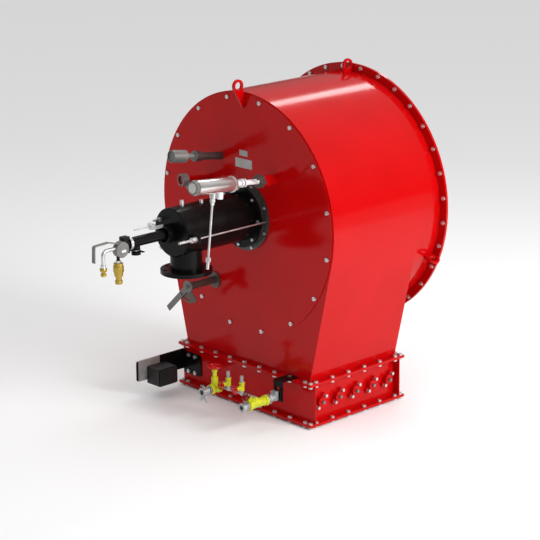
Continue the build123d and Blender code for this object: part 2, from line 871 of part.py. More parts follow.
# Round front cover with its openings
igniter_plane = fitting_plane(igniter_x, igniter_z, igniter_tilt)
scanner_plane = fitting_plane(scanner_x, scanner_z, scanner_tilt)
sight_plane = fitting_plane(sight_x, sight_z, sight_tilt)

with BuildPart() as front_cover:
    with BuildSketch(Plane.XZ.offset(body_length)):
        Circle(cover_radius)
        Circle(cover_hole_radius, mode=Mode.SUBTRACT)
        with Locations((rod_x, rod_z)):
            Circle(rod_radius + screw_clearance, mode=Mode.SUBTRACT)
        with Locations((quadrant_x, quadrant_z)):
            Circle(quadrant_shaft_radius + screw_clearance, mode=Mode.SUBTRACT)
    extrude(amount=cover_thickness)
    with BuildSketch(igniter_plane):
        Circle(igniter_tube_radius)
    extrude(amount=cover_cut_depth, both=True, mode=Mode.SUBTRACT)
    with BuildSketch(scanner_plane):
        Circle(scanner_tube_radius)
    extrude(amount=cover_cut_depth, both=True, mode=Mode.SUBTRACT)
    with BuildSketch(sight_plane):
        Circle(sight_tube_radius)
    extrude(amount=cover_cut_depth, both=True, mode=Mode.SUBTRACT)
save(front_cover, "front_cover")

# Blank plates on the cover
with BuildPart() as blank_plates:
    with BuildSketch(Plane.XZ.offset(cover_face_ahead)):
        with Locations((small_plate_x, small_plate_z)):
            Rectangle(small_plate_length, small_plate_height)
        with Locations((large_plate_x, large_plate_z)):
            Rectangle(large_plate_length, large_plate_height)
    extrude(amount=plate_sheet)
save(blank_plates, "blank_plates")

# Lifting lugs: one stands on the cover, three stand on the round body
with BuildPart() as lifting_lugs:
    with BuildSketch(Plane.YZ):
        with BuildLine():
            Polyline(
                (-cover_face_ahead, cover_radius),
                (-cover_face_ahead, front_lug_tip_z),
                (-cover_face_ahead - front_lug_tip, front_lug_tip_z),
                (-front_lug_eye_ahead - front_lug_shoulder, front_lug_eye_z - front_lug_shoulder_drop),
                (-front_lug_eye_ahead + front_lug_shoulder, front_lug_eye_z - front_lug_shoulder_drop),
                close=True,
            )
        make_face()
        with Locations((-front_lug_eye_ahead, front_lug_eye_z)):
            Circle(lug_ring_radius)
            Circle(lug_eye_radius, mode=Mode.SUBTRACT)
    extrude(amount=lug_thickness / 2, both=True)
    for turn in (0, side_lug_angle, -side_lug_angle):
        with BuildSketch(radial_plane(turn)):
            with BuildLine():
                Polyline(
                    (-rear_lug_foot_ahead, shell_radius - rear_lug_sink),
                    (-rear_lug_foot_ahead, shell_radius + rear_lug_foot_rise),
                    (-rear_lug_eye_ahead - rear_lug_shoulder, rear_lug_eye_height + rear_lug_shoulder_rise),
                    (-rear_lug_eye_ahead + lug_ring_radius, rear_lug_eye_height),
                    (-rear_lug_eye_ahead + lug_ring_radius, shell_radius - rear_lug_sink),
                    close=True,
                )
            make_face()
            with Locations((-rear_lug_eye_ahead, rear_lug_eye_height)):
                Circle(lug_ring_radius)
                Circle(lug_eye_radius, mode=Mode.SUBTRACT)
        extrude(amount=lug_thickness / 2, both=True)
    with BuildSketch(Plane.XZ):
        Circle(shell_radius)
    extrude(amount=hopper_back_ahead, mode=Mode.SUBTRACT)
save(lifting_lugs, "lifting_lugs")

# Damper box with its two flanges and the shaft openings in its side panels
with BuildPart() as damper_box:
    with BuildSketch(Plane.XY.offset(box_bottom_z)):
        flange_frame()
    extrude(amount=flange_sheet)
    with BuildSketch(Plane.XY.offset(-axis_to_box_top - flange_sheet)):
        flange_frame()
    extrude(amount=flange_sheet)
    with BuildSketch(Plane.XY.offset(box_bottom_z)):
        with Locations((0, -body_length + box_wall / 2), (0, -hopper_back_ahead - box_wall / 2)):
            Rectangle(2 * flange_half_width, box_wall)
        with Locations((hopper_half_width - box_wall / 2, duct_centre_y)):
            Rectangle(box_wall, duct_depth)
        with Locations((-hopper_half_width + box_wall / 2, duct_centre_y)):
            Rectangle(box_wall, duct_depth)
    extrude(amount=box_height)
    with BuildSketch(Plane.YZ):
        with Locations(*[(y, shaft_z) for y in blade_y]):
            Circle(damper_shaft_radius + screw_clearance)
    extrude(amount=flange_half_width, both=True, mode=Mode.SUBTRACT)
save(damper_box, "damper_box")

# Counter flange of the air duct below
with BuildPart() as duct_counter_flange:
    with BuildSketch(Plane.XY.offset(counter_flange_bottom_z)):
        flange_frame()
    extrude(amount=flange_sheet)
save(duct_counter_flange, "duct_counter_flange")

# Hexagon screws: heads and nuts on the box flanges, heads on the cover and on the actuator's bracket
with BuildPart() as flange_screws:
    with BuildSketch(Plane.XY.offset(base_flange_top_z)):
        with Locations(*flange_bolt_places()):
            hexagons(flange_screw_flats)
    extrude(amount=flange_head_height)
    with BuildSketch(Plane.XY.offset(-axis_to_box_top - flange_sheet)):
        with Locations(*flange_bolt_places()):
            hexagons(flange_screw_flats)
    extrude(amount=-flange_nut_height)
    with BuildSketch(Plane.XY.offset(box_bottom_z + flange_sheet)):
        with Locations(*flange_bolt_places()):
            hexagons(flange_screw_flats)
    extrude(amount=flange_head_height)
    with BuildSketch(Plane.XY.offset(counter_flange_bottom_z)):
        with Locations(*flange_bolt_places()):
            hexagons(flange_screw_flats)
    extrude(amount=-flange_nut_height)
    with BuildSketch(Plane.XZ.offset(cover_face_ahead)):
        with PolarLocations(cover_bolt_circle_radius, cover_bolt_count, start_angle=180 / cover_bolt_count):
            hexagons(flange_screw_flats)
    extrude(amount=flange_head_height)
    with BuildSketch(Plane.XZ.offset(body_length + bracket_sheet)):
        with Locations((bracket_foot_x, bracket_foot_z)):
            with GridLocations(
                bracket_foot_width - 2 * bracket_screw_margin_x,
                bracket_foot_height - 2 * bracket_screw_margin_z,
                2,
                2,
            ):
                hexagons(flange_screw_flats)
    extrude(amount=flange_head_height)
save(flange_screws, "flange_screws")

# Damper blades, each with its shaft and its crank
for number, y in enumerate(blade_y, 1):
    with BuildPart() as damper_blade:
        with BuildSketch(Plane.YZ.offset(-blade_half_length)):
            with Locations((y, shaft_z)):
                Rectangle(blade_width, blade_thickness)
                Circle(blade_hub_radius)
        extrude(amount=2 * blade_half_length)
        with BuildSketch(Plane.YZ.offset(crank_inner_x - crank_thickness)):
            with Locations((y, shaft_z)):
                Circle(damper_shaft_radius)
        extrude(amount=shaft_right_end - crank_inner_x + crank_thickness)
        crank(y, shaft_z, crank_inner_x)
    save(damper_blade, f"damper_blade_{number}")

# Two-screw bearings on both side panels
with BuildPart() as damper_bearings:
    for side in (1, -1):
        with BuildSketch(Plane.YZ.offset(side * hopper_half_width)):
            with Locations(*[(y, shaft_z) for y in blade_y]):
                SlotCenterToCenter(
                    2 * bearing_screw_half_span,
                    2 * bearing_ear_radius,
                    rotation=bearing_turn,
                )
                Circle(bearing_boss_radius)
                Circle(damper_shaft_radius + shaft_running_gap, mode=Mode.SUBTRACT)
        extrude(amount=side * bearing_base)
        with BuildSketch(Plane.YZ.offset(side * (hopper_half_width + bearing_base))):
            with Locations(*[(y, shaft_z) for y in blade_y]):
                Circle(bearing_boss_radius)
                Circle(damper_shaft_radius + shaft_running_gap, mode=Mode.SUBTRACT)
        extrude(amount=side * (bearing_boss_height - bearing_base))
save(damper_bearings, "damper_bearings")

with BuildPart() as bearing_screws:
    screw_y = bearing_screw_half_span * cos(radians(bearing_turn))
    screw_z = bearing_screw_half_span * sin(radians(bearing_turn))
    screw_places = [(y + end * screw_y, shaft_z + end * screw_z) for y in blade_y for end in (-1, 1)]
    for side in (1, -1):
        with BuildSketch(Plane.YZ.offset(side * (hopper_half_width + bearing_base))):
            with Locations(*screw_places):
                hexagons(bearing_screw_flats)
        extrude(amount=side * bearing_screw_height)
save(bearing_screws, "bearing_screws")

# Link bar that joins the cranks of the blades and of the actuator
pin_y = [y + crank_rest_y for y in [-actuator_shaft_ahead] + blade_y]
pin_z = shaft_z + crank_rest_z
with BuildPart() as link_bar:
    with BuildSketch(Plane.YZ.offset(link_inner_x)):
        with Locations(((pin_y[0] + pin_y[-1]) / 2, pin_z)):
            SlotCenterToCenter(pin_y[-1] - pin_y[0], 2 * link_bar_half_height)
        with Locations(*[(y, pin_z) for y in pin_y]):
            Circle(crank_pin_radius + shaft_running_gap, mode=Mode.SUBTRACT)
    extrude(amount=-link_bar_thickness)
save(link_bar, "link_bar")

# Actuator with its plate, bracket and crank
with BuildPart() as actuator:
    with BuildSketch(Plane.YZ.offset(actuator_face_x)):
        with Locations((-actuator_shaft_ahead, shaft_z - actuator_drop)):
            RectangleRounded(actuator_length, actuator_height, actuator_corner)
    extrude(amount=actuator_depth - actuator_lid_height)
    with BuildSketch(Plane.YZ.offset(actuator_face_x + actuator_depth - actuator_lid_height)):
        with Locations((-actuator_shaft_ahead, shaft_z - actuator_drop)):
            RectangleRounded(
                actuator_length - 2 * actuator_lid_step,
                actuator_height - 2 * actuator_lid_step,
                actuator_corner,
            )
    extrude(amount=actuator_lid_height)
    with BuildSketch(Plane.YZ.offset(actuator_face_x)):
        with Locations((-actuator_shaft_ahead, shaft_z)):
            Circle(actuator_shaft_radius + shaft_running_gap)
    extrude(amount=actuator_bore_depth, mode=Mode.SUBTRACT)
save(actuator, "actuator")

with BuildPart() as actuator_mounting_plate:
    with BuildSketch(Plane.YZ.offset(-bearing_face_x)):
        with Locations((-actuator_shaft_ahead - actuator_plate_shift, shaft_z + actuator_plate_rise)):
            Rectangle(actuator_plate_length, actuator_plate_height)
        with Locations((-actuator_shaft_ahead, shaft_z)):
            Circle(actuator_shaft_radius + screw_clearance, mode=Mode.SUBTRACT)
    extrude(amount=actuator_plate)
save(actuator_mounting_plate, "actuator_mounting_plate")

with BuildPart() as actuator_crank:
    with BuildSketch(Plane.YZ.offset(crank_inner_x - crank_thickness)):
        with Locations((-actuator_shaft_ahead, shaft_z)):
            Circle(actuator_shaft_radius)
    shaft_end_x = actuator_face_x + actuator_bore_depth - actuator_shaft_end_gap
    extrude(amount=shaft_end_x - crank_inner_x + crank_thickness)
    crank(-actuator_shaft_ahead, shaft_z, crank_inner_x)
save(actuator_crank, "actuator_crank")

# Ring and neck on the cover that carry the gas housing
with BuildPart() as housing_ring:
    step(Plane.XZ, cover_face_ahead, ring_thickness, ring_radius)
    step(Plane.XZ, ring_front_ahead, ring_neck_length, ring_neck_radius)
    with BuildSketch(Plane.XZ.offset(cover_face_ahead)):
        Circle(cover_hole_radius)
        with Locations((rod_x, rod_z)):
            Circle(rod_radius + screw_clearance)
    extrude(amount=ring_thickness + ring_neck_length, mode=Mode.SUBTRACT)
save(housing_ring, "housing_ring")

# Screws of the ring and of the housing's flange, and the nut of the setting rod
with BuildPart() as housing_screws:
    with BuildSketch(Plane.XZ.offset(ring_front_ahead)):
        with PolarLocations(ring_bolt_circle_radius, ring_screw_count, start_angle=180 / ring_screw_count):
            hexagons(small_screw_flats)
    extrude(amount=small_screw_height)
    with BuildSketch(Plane.XZ.offset(housing_face_ahead)):
        with PolarLocations(housing_bolt_circle_radius, housing_screw_count):
            hexagons(small_screw_flats)
    extrude(amount=small_screw_height)
    with BuildSketch(Plane.XZ.offset(rod_nut_start)):
        with Locations((rod_x, rod_z)):
            hexagons(rod_nut_flats)
            Circle(rod_thread_radius + rod_bore_gap, mode=Mode.SUBTRACT)
    extrude(amount=rod_nut_length)
save(housing_screws, "housing_screws")

# Gas housing with its rear flange, its downward branch and the ear of the setting rod
with BuildPart() as gas_housing:
    step(Plane.XZ, neck_front_ahead, housing_flange_thickness, housing_flange_radius)
    step(Plane.XZ, neck_front_ahead, housing_front_ahead - neck_front_ahead, housing_radius)
    with BuildSketch(Plane.XY.offset(-gas_flange_face + branch_end_step)):
        with Locations((0, -branch_ahead)):
            Circle(branch_radius)
    extrude(amount=gas_flange_face - branch_end_step)
    with BuildSketch(Plane.XZ.offset(rod_ear_start)):
        with Locations((housing_radius - rod_ear_sink, rod_z)):
            ear_length = rod_ear_end_x - housing_radius + rod_ear_sink
            Rectangle(ear_length, rod_ear_width, align=(Align.MIN, Align.CENTER))
        with Locations((rod_x, rod_z)):
            Circle(rod_thread_radius + rod_bore_gap, mode=Mode.SUBTRACT)
    extrude(amount=rod_ear_thickness)
    with BuildSketch(Plane.XZ.offset(neck_front_ahead)):
        Circle(housing_radius - housing_wall)
    extrude(amount=housing_front_ahead - neck_front_ahead, mode=Mode.SUBTRACT)
    with BuildSketch(Plane.XY.offset(-gas_flange_face)):
        with Locations((0, -branch_ahead)):
            Circle(branch_radius - branch_wall)
    extrude(amount=gas_flange_face, mode=Mode.SUBTRACT)
save(gas_housing, "gas_housing")

with BuildPart() as gas_inlet_flange:
    with BuildSketch(Plane.XY.offset(-gas_flange_face)):
        with Locations((0, -branch_ahead)):
            Circle(gas_flange_radius)
            Circle(branch_radius, mode=Mode.SUBTRACT)
            turn = 180 / gas_flange_hole_count
            with PolarLocations(gas_flange_bolt_circle_radius, gas_flange_hole_count, start_angle=turn):
                Circle(gas_flange_hole_radius, mode=Mode.SUBTRACT)
    extrude(amount=gas_flange_thickness)
save(gas_inlet_flange, "gas_inlet_flange")

with BuildPart() as housing_end_plate:
    step(Plane.XZ, housing_front_ahead, end_plate_thickness, housing_radius)
    outer_edge = housing_end_plate.faces().sort_by(Axis.Y)[0].outer_wire().edges()
    chamfer(outer_edge, end_plate_round)
    step(Plane.XZ, end_plate_front_ahead, collar_length, lance_radius + collar_wall)
    with BuildSketch(Plane.XZ.offset(housing_front_ahead)):
        Circle(lance_radius + lance_running_gap)
    extrude(amount=end_plate_thickness + collar_length, mode=Mode.SUBTRACT)
    with BuildSketch(Plane.XZ.offset(collar_front_ahead)):
        Circle(lance_radius + collar_bore_gap)
    extrude(amount=-collar_bore_depth, mode=Mode.SUBTRACT)
    with BuildSketch(Plane.XZ.offset(guide_back_ahead)):
        Circle(guide_radius)
        Circle(guide_bore_radius, mode=Mode.SUBTRACT)
    extrude(amount=housing_front_ahead - guide_back_ahead)
save(housing_end_plate, "housing_end_plate")

# Oil lance: tube with the ring at its front end, and the nozzle
with BuildPart() as lance_tube:
    step(Plane.XZ, yoke_ring_ahead, yoke_ring_thickness, lance_radius + yoke_ring_rim)
    step(Plane.XZ, lance_back_ahead, lance_front_ahead - lance_back_ahead, lance_radius)
    with BuildSketch(Plane.XZ.offset(yoke_saddle_ahead)):
        with Locations((0, -lance_radius - yoke_saddle_drop)):
            Rectangle(yoke_saddle_width, lance_radius + yoke_saddle_drop, align=(Align.CENTER, Align.MIN))
    extrude(amount=yoke_saddle_length)
    with BuildSketch(downward_plane(0, knob_ahead, -lance_radius - yoke_saddle_drop)):
        Circle(knob_stem_radius + shaft_running_gap)
    extrude(amount=-knob_bore_depth, mode=Mode.SUBTRACT)
    with BuildSketch(Plane.XZ.offset(lance_back_ahead)):
        Circle(lance_radius - lance_wall)
    extrude(amount=lance_front_ahead - lance_back_ahead, mode=Mode.SUBTRACT)
save(lance_tube, "lance_tube")

with BuildPart() as oil_nozzle:
    with BuildSketch(Plane.XZ.offset(lance_back_ahead)):
        Circle(lance_radius)
    with BuildSketch(Plane.XZ.offset(lance_back_ahead - nozzle_length)):
        Circle(nozzle_tip_radius)
    loft()
save(oil_nozzle, "oil_nozzle")

# Gas pipe inside the windbox with its closing plate and gas spuds
with BuildPart() as gas_pipe:
    with BuildSketch(Plane.XZ.offset(neck_front_ahead - gas_pipe_flange_thickness)):
        Circle(gas_pipe_flange_radius)
        Circle(gas_pipe_radius - gas_pipe_wall, mode=Mode.SUBTRACT)
    extrude(amount=gas_pipe_flange_thickness)
    with BuildSketch(Plane.XZ.offset(gas_pipe_back_ahead)):
        Circle(gas_pipe_radius)
        Circle(gas_pipe_radius - gas_pipe_wall, mode=Mode.SUBTRACT)
    extrude(amount=neck_front_ahead - gas_pipe_back_ahead)
    with BuildSketch(Plane.XZ.offset(gas_pipe_back_ahead)):
        Circle(gas_pipe_radius)
        Circle(guide_radius + guide_pipe_gap, mode=Mode.SUBTRACT)
    extrude(amount=gas_pipe_wall)
    with BuildSketch(Plane.XZ.offset(gas_pipe_back_ahead)):
        with PolarLocations(gas_spud_circle_radius, gas_spud_count):
            Circle(gas_spud_radius)
    extrude(amount=-gas_spud_length)
save(gas_pipe, "gas_pipe")

# Swirler that slides on the gas pipe, and the rod that sets it
with BuildPart() as swirler:
    with BuildSketch(Plane.XZ.offset(swirler_ahead)):
        Circle(swirler_bore_radius + swirler_hub_wall)
        Circle(swirler_bore_radius, mode=Mode.SUBTRACT)
    extrude(amount=swirler_length)
    with BuildSketch(Plane.XZ.offset(swirler_ahead)):
        Circle(swirler_radius)
        Circle(swirler_radius - swirler_rim_wall, mode=Mode.SUBTRACT)
    extrude(amount=swirler_length)
    with BuildSketch(Plane.XZ.offset(swirler_ahead + swirler_length - swirler_plate)):
        Circle(swirler_radius)
        Circle(swirler_ring_inner_radius, mode=Mode.SUBTRACT)
    extrude(amount=swirler_plate)
    vane_start = swirler_bore_radius + swirler_hub_wall / 2
    vane_reach = swirler_radius - swirler_rim_wall / 2 - vane_start
    vane_middle = swirler_ahead + swirler_length / 2 - swirler_plate / 2
    for index in range(swirler_vane_count):
        turn = index * 360 / swirler_vane_count
        outward = (cos(radians(turn)), 0, sin(radians(turn)))
        vane_plane = Plane(origin=(0, -vane_middle, 0), x_dir=(0, 1, 0), z_dir=outward)
        with BuildSketch(vane_plane.offset(vane_start)):
            Rectangle(swirler_length - swirler_plate, swirler_vane_thickness, rotation=swirler_vane_angle)
        extrude(amount=vane_reach)
save(swirler, "swirler")

with BuildPart() as setting_rod:
    rod_place = Plane.XZ.shift_origin((rod_x, 0, rod_z))
    rod_back = swirler_ahead + swirler_length
    step(rod_place, rod_back, rod_front_ahead - rod_back, rod_radius)
    step(rod_place, rod_front_ahead - rod_thread_length, rod_thread_length, rod_thread_radius)
save(setting_rod, "setting_rod")

# Air throat with its windows, the bands that guide the shutter, the register plate and the closing plate
with BuildPart() as air_throat:
    with BuildSketch(Plane.XZ.offset(throat_plate_ahead)):
        Circle(inner_radius)
        Circle(throat_radius - throat_wall, mode=Mode.SUBTRACT)
    extrude(amount=throat_plate_thickness)
    with BuildSketch(Plane.XZ.offset(throat_plate_ahead)):
        Circle(throat_radius)
        Circle(throat_radius - throat_wall, mode=Mode.SUBTRACT)
    extrude(amount=throat_front_ahead - throat_plate_ahead)
    for band_start in (
        shutter_back_ahead + shutter_band_inset,
        shutter_front_ahead - shutter_band_inset - shutter_band_width,
    ):
        with BuildSketch(Plane.XZ.offset(band_start)):
            Circle(shutter_inner_radius - shutter_running_gap)
            Circle(throat_radius - throat_wall / 2, mode=Mode.SUBTRACT)
        extrude(amount=shutter_band_width)
    with BuildSketch(Plane.XZ.offset(throat_front_ahead - throat_plate_thickness)):
        Circle(throat_radius)
        Circle(throat_radius - register_rim, mode=Mode.SUBTRACT)
    extrude(amount=throat_plate_thickness)
    with BuildSketch(Plane.XZ.offset(window_start_ahead)):
        window_rays()
    extrude(amount=window_length, mode=Mode.SUBTRACT)
save(air_throat, "air_throat")

# Rotating shutter outside the throat: two rings joined by bars, and the forked ear for the crank pin.
# At rest the windows are open and the lever stands at the start of its travel.
with BuildPart() as air_shutter:
    with BuildSketch(Plane.XZ.offset(shutter_back_ahead)):
        Circle(shutter_inner_radius + shutter_wall)
        Circle(shutter_inner_radius, mode=Mode.SUBTRACT)
    extrude(amount=shutter_front_ahead - shutter_back_ahead)
    with BuildSketch(Plane.XZ.offset(window_start_ahead)):
        window_rays()
    extrude(amount=window_length, mode=Mode.SUBTRACT)
    ear_start = shutter_inner_radius + shutter_wall / 2
    ear_end = shutter_pin_circle_radius + shutter_ear_margin
    with BuildSketch(Plane.XZ.offset(shutter_front_ahead)):
        with Locations(Location((0, 0), shutter_pin_turn)):
            with Locations(((ear_start + ear_end) / 2, 0)):
                Rectangle(ear_end - ear_start, shutter_ear_width)
            with Locations((shutter_pin_circle_radius, 0)):
                Circle(shutter_pin_radius + shutter_pin_play, mode=Mode.SUBTRACT)
            with Locations((shutter_pin_circle_radius + shutter_ear_width / 2, 0)):
                Rectangle(shutter_ear_width, 2 * (shutter_pin_radius + shutter_pin_play), mode=Mode.SUBTRACT)
    extrude(amount=-shutter_ear_thickness)
save(air_shutter, "air_shutter")

# Quadrant on the cover, and its lever with the shaft and the inner crank
quadrant_place = Plane.XZ.shift_origin((quadrant_x, 0, quadrant_z))
with BuildPart() as quadrant:
    step(quadrant_place, cover_face_ahead, quadrant_foot_thickness, quadrant_foot_radius)
    step(quadrant_place, cover_face_ahead, quadrant_length, quadrant_tube_radius)
    with BuildSketch(quadrant_place.offset(quadrant_front_ahead - sector_thickness)):
        radial_wedge(sector_radius, sector_start_angle, sector_span_angle)
        Circle(quadrant_tube_radius + quadrant_plate_rim)
        slot_line = Edge.make_circle(
            sector_slot_radius,
            start_angle=lever_angle - sector_slot_end,
            end_angle=lever_angle + 2 * lever_half_travel + sector_slot_end,
        )
        SlotArc(slot_line, 2 * (lock_pin_radius + lock_pin_gap), mode=Mode.SUBTRACT)
    extrude(amount=sector_thickness)
    with BuildSketch(quadrant_place.offset(cover_face_ahead)):
        Circle(quadrant_shaft_radius + shaft_running_gap)
    extrude(amount=quadrant_length, mode=Mode.SUBTRACT)
save(quadrant, "quadrant")

with BuildPart() as quadrant_lever:
    crank_back = shutter_front_ahead + 2 * lever_gap
    shaft_length = quadrant_front_ahead + quadrant_shaft_reach - crank_back
    step(quadrant_place, crank_back, shaft_length, quadrant_shaft_radius)
    with BuildSketch(quadrant_place.offset(lever_back_ahead)):
        with Locations(Location((0, 0), lever_angle)):
            Rectangle(lever_length, lever_width, align=(Align.MIN, Align.CENTER))
        Circle(lever_hub_radius)
    extrude(amount=lever_thickness)
    with BuildSketch(quadrant_place.offset(quadrant_front_ahead - sector_thickness - lock_pin_end)):
        with Locations(Location((0, 0), lever_angle)):
            with Locations((sector_slot_radius, 0)):
                Circle(lock_pin_radius)
    extrude(amount=lock_pin_end + sector_thickness + lever_gap)
    with BuildSketch(quadrant_place.offset(lever_back_ahead + lever_thickness)):
        with Locations(Location((0, 0), lever_angle)):
            with Locations((sector_slot_radius, 0)):
                hexagons(lock_nut_flats)
    extrude(amount=lock_nut_height)
    with BuildSketch(quadrant_place.offset(crank_back)):
        with Locations(Location((0, 0), shutter_crank_turn)):
            with Locations((shutter_crank_length / 2, 0)):
                SlotCenterToCenter(shutter_crank_length, shutter_crank_width)
    extrude(amount=shutter_crank_thickness)
    with BuildSketch(Plane.XZ.offset(crank_back)):
        with Locations((shutter_pin_x, shutter_pin_z)):
            Circle(shutter_pin_radius)
    extrude(amount=-shutter_ear_thickness - 2 * lever_gap - shutter_pin_end)
save(quadrant_lever, "quadrant_lever")

# Igniter: socket on the cover, clamp ring, and the igniter that slides in it
with BuildPart() as igniter_socket:
    with BuildSketch(igniter_plane.offset(-socket_inside)):
        Circle(igniter_tube_radius)
        Circle(igniter_tube_radius - igniter_tube_wall, mode=Mode.SUBTRACT)
    extrude(amount=socket_inside + igniter_socket_length)
save(igniter_socket, "igniter_socket")

# Clamp ring with the pivot of its cock lever, which stands on the ring's upper right side
cock_side = igniter_plane.x_dir * cos(radians(cock_turn))
cock_out = (cock_side + igniter_plane.y_dir * sin(radians(cock_turn))).normalized()
cock_middle = igniter_plane.origin + igniter_plane.z_dir * (igniter_socket_length + igniter_clamp_length / 2)
cock_plane = Plane(
    origin=cock_middle + cock_out * (igniter_clamp_radius + cock_pivot_height - cock_pivot_sink),
    x_dir=igniter_plane.z_dir,
    z_dir=cock_out,
)
with BuildPart() as igniter_clamp:
    with BuildSketch(igniter_plane.offset(igniter_socket_length)):
        Circle(igniter_clamp_radius)
        Circle(igniter_pipe_radius + shaft_running_gap, mode=Mode.SUBTRACT)
    extrude(amount=igniter_clamp_length)
    with BuildSketch(cock_plane):
        Circle(cock_pivot_radius)
    extrude(amount=-cock_pivot_height)
    with BuildSketch(igniter_plane.offset(igniter_socket_length)):
        Circle(igniter_pipe_radius + shaft_running_gap)
    extrude(amount=igniter_clamp_length, mode=Mode.SUBTRACT)
save(igniter_clamp, "igniter_clamp")

pilot_side = igniter_plane.x_dir * sin(radians(pilot_turn))
pilot_down = (pilot_side - igniter_plane.y_dir * cos(radians(pilot_turn))).normalized()
pilot_plane = Plane(
    origin=igniter_plane.origin + igniter_plane.z_dir * pilot_start,
    x_dir=igniter_plane.z_dir,
    z_dir=pilot_down,
)
with BuildPart() as igniter_lance:
    step(igniter_plane, -igniter_inside, igniter_inside + igniter_case_start, igniter_pipe_radius)
    step(igniter_plane, igniter_collar_start, igniter_collar_length, igniter_pipe_radius + igniter_collar_rim)
save(igniter_lance, "igniter_lance")

with BuildPart() as igniter_case:
    step(igniter_plane, igniter_case_start, igniter_case_length, igniter_case_radius)
    step(igniter_plane, igniter_case_start, igniter_rim_length, igniter_case_radius + igniter_rim_step)
    step(igniter_plane, igniter_case_end, igniter_cap_length, igniter_cap_radius)
    with BuildSketch(pilot_plane):
        Circle(pilot_gland_radius)
    extrude(amount=igniter_case_radius + pilot_gland_height)
save(igniter_case, "igniter_case")

# Pilot pipe below the case with a nut at each end and its nozzle
with BuildPart() as pilot_pipe:
    pipe_start = igniter_case_radius + pilot_gland_height
    nozzle_start = pipe_start + pilot_pipe_length - pilot_nozzle_length
    step(pilot_plane, pipe_start, pilot_pipe_length, pilot_pipe_radius)
    step(pilot_plane, nozzle_start, pilot_nozzle_length, pilot_nozzle_radius)
    with BuildSketch(pilot_plane.offset(pipe_start)):
        hexagons(pilot_nut_flats)
    extrude(amount=pilot_nut_height)
    with BuildSketch(pilot_plane.offset(nozzle_start - pilot_nut_height)):
        hexagons(pilot_nut_flats)
    extrude(amount=pilot_nut_height)
save(pilot_pipe, "pilot_pipe")

# Cock lever on the clamp ring, bent like an S
with BuildPart() as igniter_lever:
    with BuildSketch(cock_plane.offset(cock_gap)):
        Circle(cock_pivot_radius)
        half = cock_lever_width / 2
        bend_end = cock_foot_reach + cock_bend_reach
        Polygon(
            (0, -half),
            (cock_foot_reach, -half),
            (bend_end, -half - cock_bend_rise),
            (bend_end + cock_tip_reach, -half - cock_bend_rise),
            (bend_end + cock_tip_reach, half - cock_bend_rise),
            (bend_end + half, half - cock_bend_rise),
            (cock_foot_reach + half, half),
            (0, half),
            align=None,
        )
    extrude(amount=cock_lever_thickness)
save(igniter_lever, "igniter_lever")

# Flame scanner
with BuildPart() as scanner_tube:
    step(scanner_plane, -socket_inside, socket_inside + scanner_tube_length, scanner_tube_radius)
    step(scanner_plane, scanner_tube_length, scanner_ring_length, scanner_ring_radius)
    with BuildSketch(scanner_plane.offset(-socket_inside)):
        Circle(scanner_tube_radius - scanner_tube_wall)
    extrude(amount=socket_inside + scanner_ring_end, mode=Mode.SUBTRACT)
save(scanner_tube, "scanner_tube")

with BuildPart() as scanner_head:
    step(scanner_plane, scanner_ring_end, scanner_neck_length, scanner_neck_radius)
    step(scanner_plane, scanner_ring_end, scanner_tube_wall, scanner_ring_radius)
    step(scanner_plane, scanner_cup_start, scanner_cup_length, scanner_cup_radius)
    with BuildSketch(scanner_plane.offset(scanner_cup_start + scanner_cup_length)):
        Circle(scanner_cup_radius - scanner_face_rim)
    extrude(amount=-scanner_face_depth, mode=Mode.SUBTRACT)
save(scanner_head, "scanner_head")

# Sight tube with its glass
with BuildPart() as sight_tube:
    step(sight_plane, -socket_inside, socket_inside + sight_tube_length, sight_tube_radius)
    step(sight_plane, sight_tube_length, sight_flange_length, sight_flange_radius)
    with BuildSketch(sight_plane.offset(-socket_inside)):
        Circle(sight_tube_radius - sight_tube_wall)
    extrude(amount=socket_inside + sight_flange_end, mode=Mode.SUBTRACT)
    with BuildSketch(sight_plane.offset(sight_glass_start)):
        Circle(sight_glass_radius)
    extrude(amount=sight_glass_inset + sight_glass_thickness, mode=Mode.SUBTRACT)
save(sight_tube, "sight_tube")

with BuildPart() as sight_glass:
    step(sight_plane, sight_glass_start, sight_glass_thickness, sight_glass_radius)
save(sight_glass, "sight_glass")

# Head of the oil lance with its fuel pipe, couplings and handle
with BuildPart() as lance_head:
    with BuildSketch(Plane.XZ.offset(head_block_start)):
        with Locations((0, (head_block_low + head_block_high) / 2)):
            Rectangle(head_block_width, head_block_high - head_block_low)
    extrude(amount=head_block_length)
    head_disc()
    step(downward_plane(stem_x, stem_ahead, -head_disc_drop), 0, stem_drop, stem_radius)
    with BuildSketch(Plane.XZ.offset(head_block_start)):
        Circle(lance_radius)
    extrude(amount=lance_front_ahead - head_block_start, mode=Mode.SUBTRACT)
save(lance_head, "lance_head")

with BuildPart() as fuel_pipe:
    pipe_start = head_disc_ahead + head_disc_radius - fuel_pipe_radius
    with BuildLine(Plane.YZ.offset(fuel_pipe_x)) as fuel_path:
        FilletPolyline(
            (-pipe_start, fuel_pipe_height),
            (-fuel_pipe_front_ahead, fuel_pipe_height),
            (-fuel_pipe_front_ahead, fuel_pipe_end_z),
            radius=fuel_pipe_bend,
        )
    pipe_mouth = Plane.XZ.shift_origin((fuel_pipe_x, 0, fuel_pipe_height))
    with BuildSketch(pipe_mouth.offset(pipe_start)):
        Circle(fuel_pipe_radius)
    sweep(path=fuel_path.line)
    head_disc(mode=Mode.SUBTRACT)
save(fuel_pipe, "fuel_pipe")

